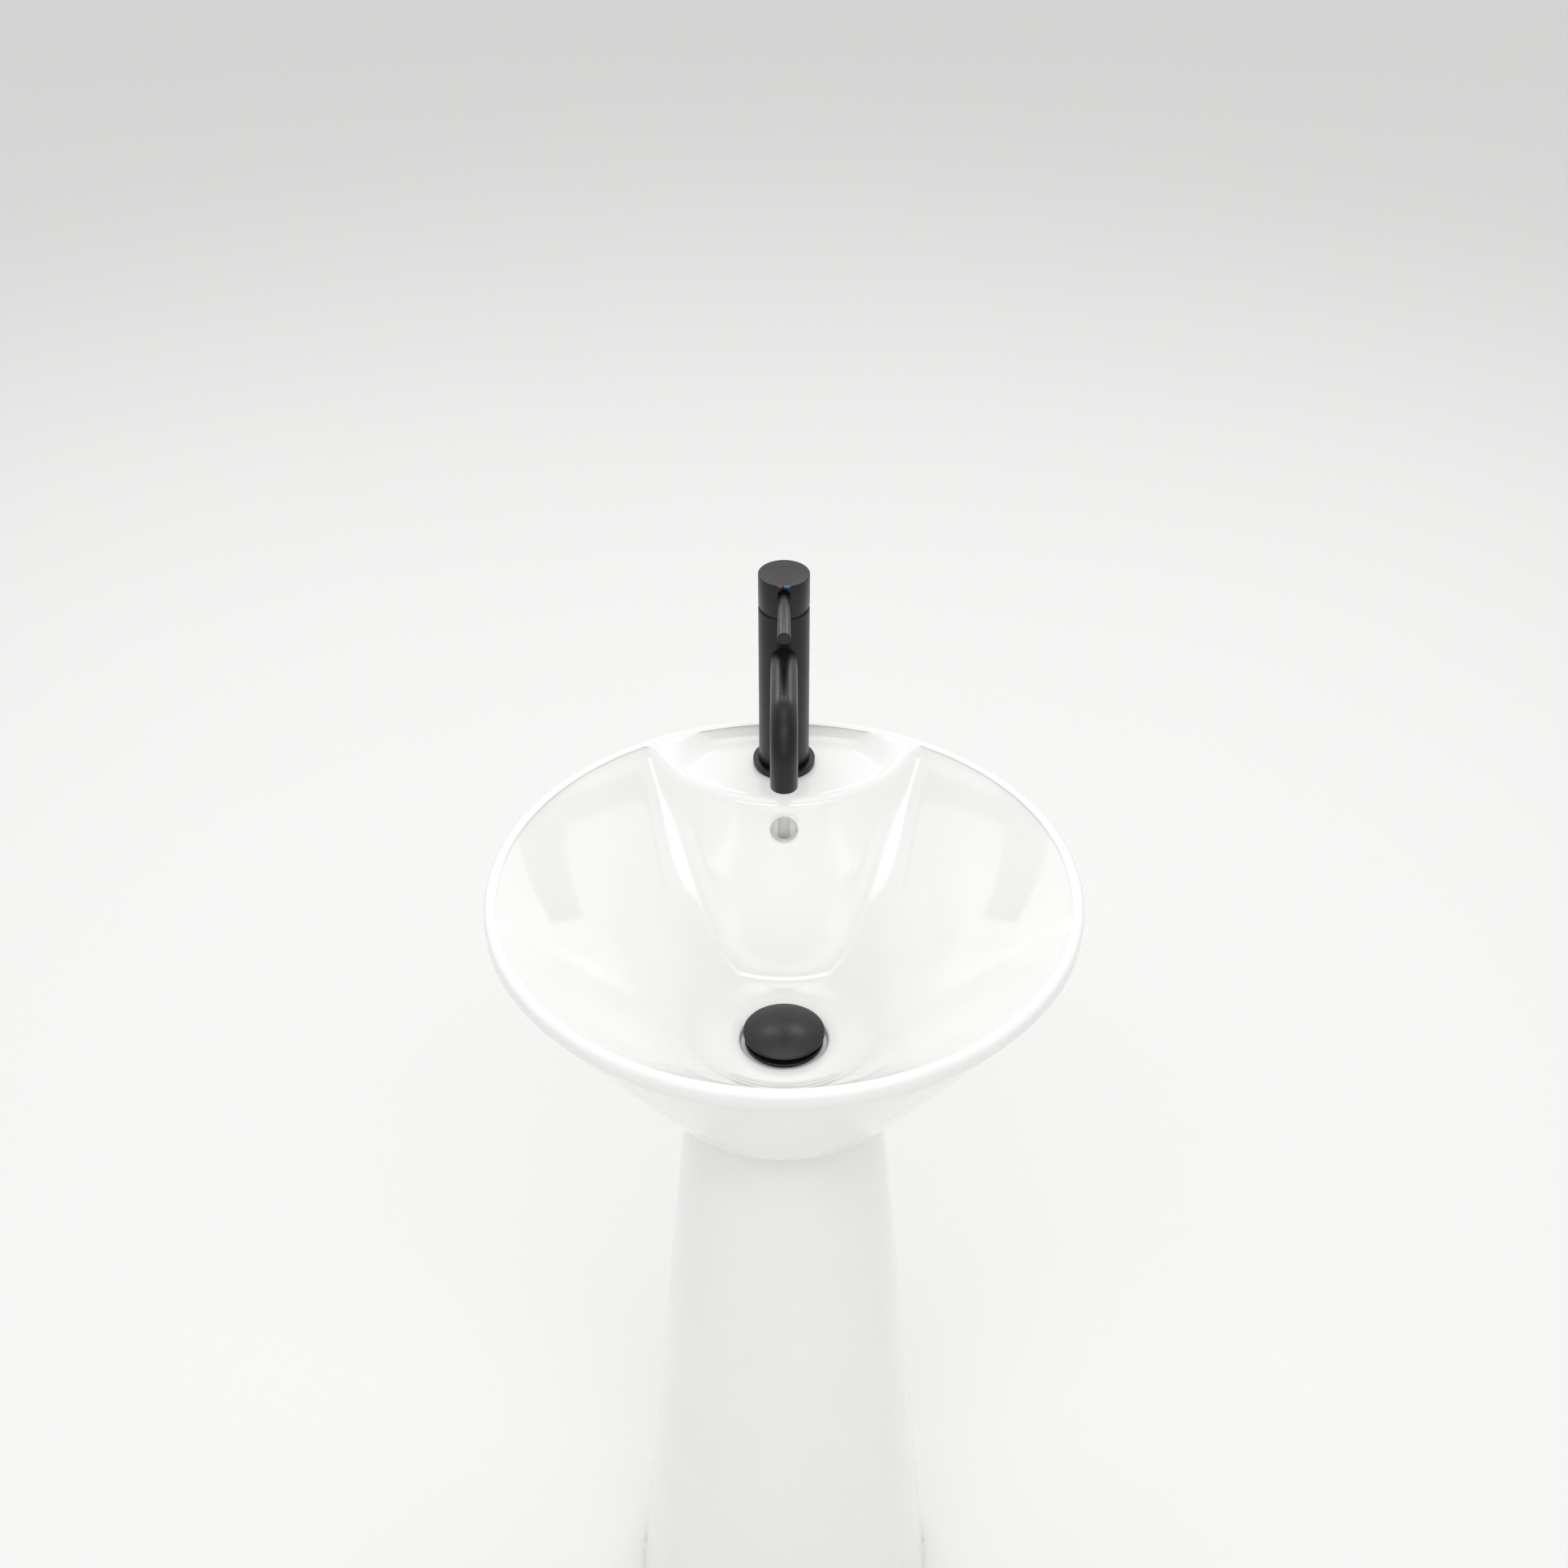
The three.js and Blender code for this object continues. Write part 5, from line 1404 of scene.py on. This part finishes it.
@dataclass
class Trap:
    """The chromed bottle trap and its pipes. Heights are in millimetres above the floor."""

    pipe: float = 16.0
    axis_z: float = 510.0
    tube_end: float = 610.0
    bottom: float = 474.0

    def slip_nut(self, name: str, radius: float, thread: float, height: float,
                 matrix: Matrix) -> bpy.types.Object:
        """A slip nut with finger grips round it."""
        bore = self.pipe + 0.3
        body = turned(name, rounded([
            (thread + 0.3, 0, 0.4), (radius, 0, 0.8), (radius, height, 1.2), (bore, height, 0.4),
            (bore, height - 3, 0.2), (thread + 0.3, height - 3, 0.2)], 4), 96, matrix)
        grips = []
        for i in range(12):
            angle = TAU * (i + 0.5) / 12
            place = at((radius + 1) * math.cos(angle), (radius + 1) * math.sin(angle))
            grips.append(post(1.9, -1, height - 2.5, matrix @ place, 24))
        carved(body, Carve.CUT, *grips)
        return softened(body, 0.3, 2, 45)

    def build(self) -> None:
        """Builds the tail, the bottle and the outlet."""
        end = self.tube_end
        washer = rectangle(14.7, 20.6, end - 2, end - 0.3, 0.4)
        place_piece(turned("tail_flat_washer", washer, 64), RUBBER, "sink", "tail_washer")
        tail = rounded([
            (14.5, 448, 0.3), (16, 448, 0.3), (16, end - 4, 0.6),
            (20.6, end - 4, 0.3), (20.6, end - 2.3, 0.3), (14.5, end - 2.3, 0.3)], 3)
        place_piece(turned("tail_tube", tail, 96), CHROME, "sink", "tail_pipe")
        nut = self.slip_nut("tail_slip_nut", 25, 21, 16, facing("-z", (0, 0, end + 8.7)))
        place_piece(nut, CHROME, "sink", "tail_nut")
        self.bottle()
        self.outlet()

    def bottle(self) -> None:
        """The bottle's upper half, its nut and washer, and the cup that unscrews."""
        low = self.bottom
        body = turned("bottle_upper", rounded([
            (0, low), (28, low, 0.4), (28, low + 13), (30, low + 15, 0.6), (30, 528, 5), (22, 535, 4),
            (20, 535.5), (20, 548, 0.5), (0, 548)], 6, False), 128)
        section = rounded([(0, 0), (20, 0), (20, 62, 0.5), (0, 62)], 4, False)
        arm = turned("arm", section, 96, facing("+y", (0, 0, self.axis_z)))
        carved(body, Carve.JOIN, arm)
        carved(
            body, Carve.CUT, post(25, low - 2, 524, None, 96), post(16.3, 500, 552, None, 96),
            post(15, 5, 66, facing("+y", (0, 0, self.axis_z)), 96),
        )
        place_piece(softened(body, 0.4, 3, 45), CHROME, "sink", "trap_body")
        cone = rectangle(16.3, 19.6, 548.3, 551, 0.4)
        place_piece(turned("inlet_cone_washer", cone, 64), RUBBER, "sink", "trap_inlet_washer")
        nut = self.slip_nut("inlet_slip_nut", 25, 20, 15, at(0, 0, 539.3))
        place_piece(nut, CHROME, "sink", "trap_inlet_nut")
        flat = rectangle(23, 27.6, low - 2.2, low - 0.3, 0.4)
        place_piece(turned("cup_flat_gasket", flat, 64), RUBBER, "sink", "trap_cup_gasket")
        cup = rounded([
            (0, 424), (20, 424, 4), (29, 430, 6), (32, 437, 1.5), (32, low + 12, 1), (28.3, low + 12, 0.4),
            (28.3, low - 2.5, 0.2), (25, low - 2.5, 0.3), (25, 436, 4), (18, 428, 3), (0, 428)], 6, False)
        bowl = turned("trap_cup_turned", cup, 128)
        grips = [post(2.4, 441, 482, at(x, y), 24) for x, y in round_places(33.2, 10)]
        carved(bowl, Carve.CUT, *grips)
        place_piece(softened(bowl, 0.4, 2, 45), CHROME, "sink", "trap_cup")

    def outlet(self) -> None:
        """The pipe to the wall, with its nut and washer."""
        cone = rectangle(16.3, 19.6, 0, 2.7, 0.4)
        washer = turned("outlet_cone_washer", cone, 64, facing("+y", (0, 62.3, self.axis_z)))
        place_piece(washer, RUBBER, "sink", "outlet_washer")
        nut = self.slip_nut("outlet_slip_nut", 25, 20, 15, facing("+y", (0, 53.3, self.axis_z)))
        place_piece(nut, CHROME, "sink", "outlet_nut")
        low, high = corners_mm("outlet_pipe")
        section = rectangle(14.5, 16, 0, high.y - low.y, 0.3)
        pipe = turned("outlet_tube", section, 96, facing("+y", (0, low.y, self.axis_z)))
        place_piece(pipe, CHROME, "sink", "outlet_pipe")


@dataclass
class FootFixing:
    """A bracket inside the pedestal's foot, with the screw and the cap that show at its side."""

    side: str
    sign: int
    plate: float = 2.8
    screw_z: float = 25.0

    def turn(self) -> Matrix:
        """Half a turn about Z for the left side."""
        return Matrix.Rotation(0 if self.sign > 0 else math.pi, 4, "Z")

    def build(self) -> None:
        """Builds the bracket, the screw and the cap."""
        face, toe, half, tall = 122.5, 92.0, 15.0, 42.0
        section = rounded([
            (toe, 0), (face, 0, 3.6), (face, tall), (face - self.plate, tall),
            (face - self.plate, self.plate, 0.8), (toe, self.plate)], 6)
        stand = self.turn() @ at(0, half) @ Matrix.Rotation(math.pi / 2, 4, "X")
        bracket = prism("bracket", section, 2 * half, stand, 0.0)
        holes = [
            post(2.8, face - 6, face + 3, self.turn() @ facing("+x", (0, 0, self.screw_z)), 32),
            post(3.5, -2, 6, self.turn() @ at((toe + face) / 2, 0), 32),
        ]
        carved(bracket, Carve.CUT, *holes)
        bracket.name = f"foot_bracket_{self.side}"
        place_piece(softened(bracket, 0.3, 2, 60), STEEL, "sink", f"floor_bracket_{self.side}")
        thread: Outline = []
        x = face - 8.6
        while x < 130:
            thread += [(2.5, x), (2.1, x + 0.5)]
            x += 1.0
        head = [(2.2, 131.2), (2.4, 131.3), (4.8, 131.3), (5, 131.6), *arc((0, 128.1), 5.9, 32, 60, 6)]
        outline = [(0, face - 9), (1.6, face - 9), *thread, *head, (0, 134)]
        screw = turned(f"foot_screw_{self.side}", [p for p in outline if p[1] <= 134], 40,
                       self.turn() @ facing("+x", (0, 0, self.screw_z)))
        place_piece(screw, STEEL, "sink", f"side_screw_{self.side}")
        cover = rounded([(0, 0), (6.2, 0, 0.3), (6.2, 2.6, 1.2), (4.6, 4, 1.5), (0, 4.6)], 5, False)
        cap = turned(f"foot_cap_{self.side}", cover, 48, self.turn() @ facing("+x", (134.4, 0, self.screw_z)))
        place_piece(cap, WHITE_PLASTIC, "sink", f"screw_cap_{self.side}")


# ------------------------------------------------------------------ studio


@dataclass(frozen=True)
class Lamp:
    """A soft rectangular lamp, aimed at the basin, that fades out towards its edges."""

    name: str
    place: tuple[float, float, float]
    size: tuple[float, float]
    radiance: float

    def hang(self, target: Vector) -> None:
        """Makes the lamp and turns it to the target."""
        wide, high = self.size
        lamp = bpy.data.lights.new(self.name, "AREA")
        lamp.shape = "RECTANGLE"
        lamp.size, lamp.size_y = wide, high
        lamp.energy = self.radiance * math.pi * wide * high
        lamp.use_nodes = True
        self._fade(lamp.node_tree)
        holder = bpy.data.objects.new(self.name, lamp)
        holder.location = self.place
        holder.rotation_euler = (target - Vector(self.place)).to_track_quat("-Z", "Y").to_euler()
        holder.visible_camera = False
        bpy.context.scene.collection.objects.link(holder)

    @staticmethod
    def _fade(tree: bpy.types.NodeTree) -> None:
        """Makes the light strongest in the middle of the lamp and nothing at its rim."""
        where = add_node(tree, "ShaderNodeNewGeometry").outputs["Parametric"]
        across = add_node(tree, "ShaderNodeSeparateXYZ", {"Vector": where})
        humps = []
        for axis in ("X", "Y"):
            rest = add_node(tree, "ShaderNodeMath", operation="SUBTRACT")
            rest.inputs[0].default_value = 1.0
            tree.links.new(across.outputs[axis], rest.inputs[1])
            hump = add_node(tree, "ShaderNodeMath", operation="MULTIPLY")
            tree.links.new(across.outputs[axis], hump.inputs[0])
            tree.links.new(rest.outputs[0], hump.inputs[1])
            humps.append(hump.outputs[0])
        both = add_node(tree, "ShaderNodeMath", operation="MULTIPLY")
        tree.links.new(humps[0], both.inputs[0])
        tree.links.new(humps[1], both.inputs[1])
        strength = add_node(tree, "ShaderNodeMath", operation="MULTIPLY")
        strength.inputs[0].default_value = 16.0
        tree.links.new(both.outputs[0], strength.inputs[1])
        tree.links.new(strength.outputs[0], tree.nodes["Emission"].inputs["Strength"])


# In front, a wide screen and above it a long box, whose image runs along the deck's edge and the foot of
# the tongue. Overhead, a big soft box. Behind, two windows for the plug's shine and panels for the tap's.
LAMPS = (
    Lamp("front_screen", (0.0, -3.4, 2.2), (5.0, 3.0), 1.0),
    Lamp("front_box", (0.0, -1.75, 3.25), (4.6, 0.6), 5.2),
    Lamp("overhead", (0.0, 0.1, 3.6), (3.0, 2.4), 1.4),
    Lamp("window_left", (-0.4, 2.0, 2.7), (0.5, 0.5), 13.0),
    Lamp("window_right", (0.4, 2.0, 2.7), (0.5, 0.5), 13.0),
    Lamp("back_left", (-1.45, 2.3, 2.1), (0.8, 0.7), 9.0),
    Lamp("back_right", (1.45, 2.3, 2.1), (0.8, 0.7), 9.0),
)


@dataclass
class Studio:
    """A pale floor, soft lights and the camera above and in front of the basin."""

    camera_place: tuple[float, float, float] = (0.0, -1.4464, 2.0102)
    look_down: float = 36.24
    lens: float = 54.23
    dim_sky: float = 0.55
    bright_sky: float = 0.98

    def build(self) -> None:
        """Makes the floor, the lights, the sky and the camera."""
        self.floor()
        for lamp in LAMPS:
            lamp.hang(Vector((0, 0.05, 0.85)))
        self.sky()
        self.camera()
        bpy.context.scene.view_settings.view_transform = "Standard"

    def floor(self) -> None:
        """A wide matt pale floor."""
        bm = bmesh.new()
        bmesh.ops.create_grid(bm, x_segments=1, y_segments=1, size=30000)
        floor = as_object("floor", bm)
        paint = Finish(
            "floor_paint_matt", "", "#ebebea", "#e9e9e8", 0.6, mottle_mm=900, grain_mm=8, grain_depth_mm=0.02,
        )
        floor.data.materials.append(paint.material())

    def sky(self) -> None:
        """A pale room, brighter behind the basin than in front of it."""
        sky = bpy.data.worlds.new("pale_room")
        sky.use_nodes = True
        tree = sky.node_tree
        heading = add_node(tree, "ShaderNodeTexCoord").outputs["Generated"]
        back = add_node(tree, "ShaderNodeSeparateXYZ", {"Vector": heading}).outputs["Y"]
        strength = add_node(tree, "ShaderNodeMapRange", {
            "Value": back, "From Min": -1.0, "From Max": 1.0,
            "To Min": self.dim_sky, "To Max": self.bright_sky})
        background = tree.nodes["Background"]
        background.inputs["Color"].default_value = linear("#fbfbfb")
        tree.links.new(strength.outputs["Result"], background.inputs["Strength"])
        bpy.context.scene.world = sky

    def camera(self) -> None:
        """The camera, tilted down at the basin."""
        data = bpy.data.cameras.new("camera")
        data.lens = self.lens
        data.sensor_width = 36.0
        holder = bpy.data.objects.new("camera", data)
        holder.location = self.camera_place
        holder.rotation_euler = (math.radians(90 - self.look_down), 0, 0)
        bpy.context.scene.collection.objects.link(holder)
        bpy.context.scene.camera = holder


def main() -> None:
    """Builds the studio and every sub-assembly."""
    Studio().build()
    sub_assemblies = (
        Basin(), Pedestal(), Tap(), Handle(), Waste(), Trap(), FootFixing("left", -1), FootFixing("right", 1),
    )
    for part in sub_assemblies:
        part.build()
        log.info("%s done", type(part).__name__)
    bpy.context.view_layer.update()


if __name__ == "__main__":
    main()
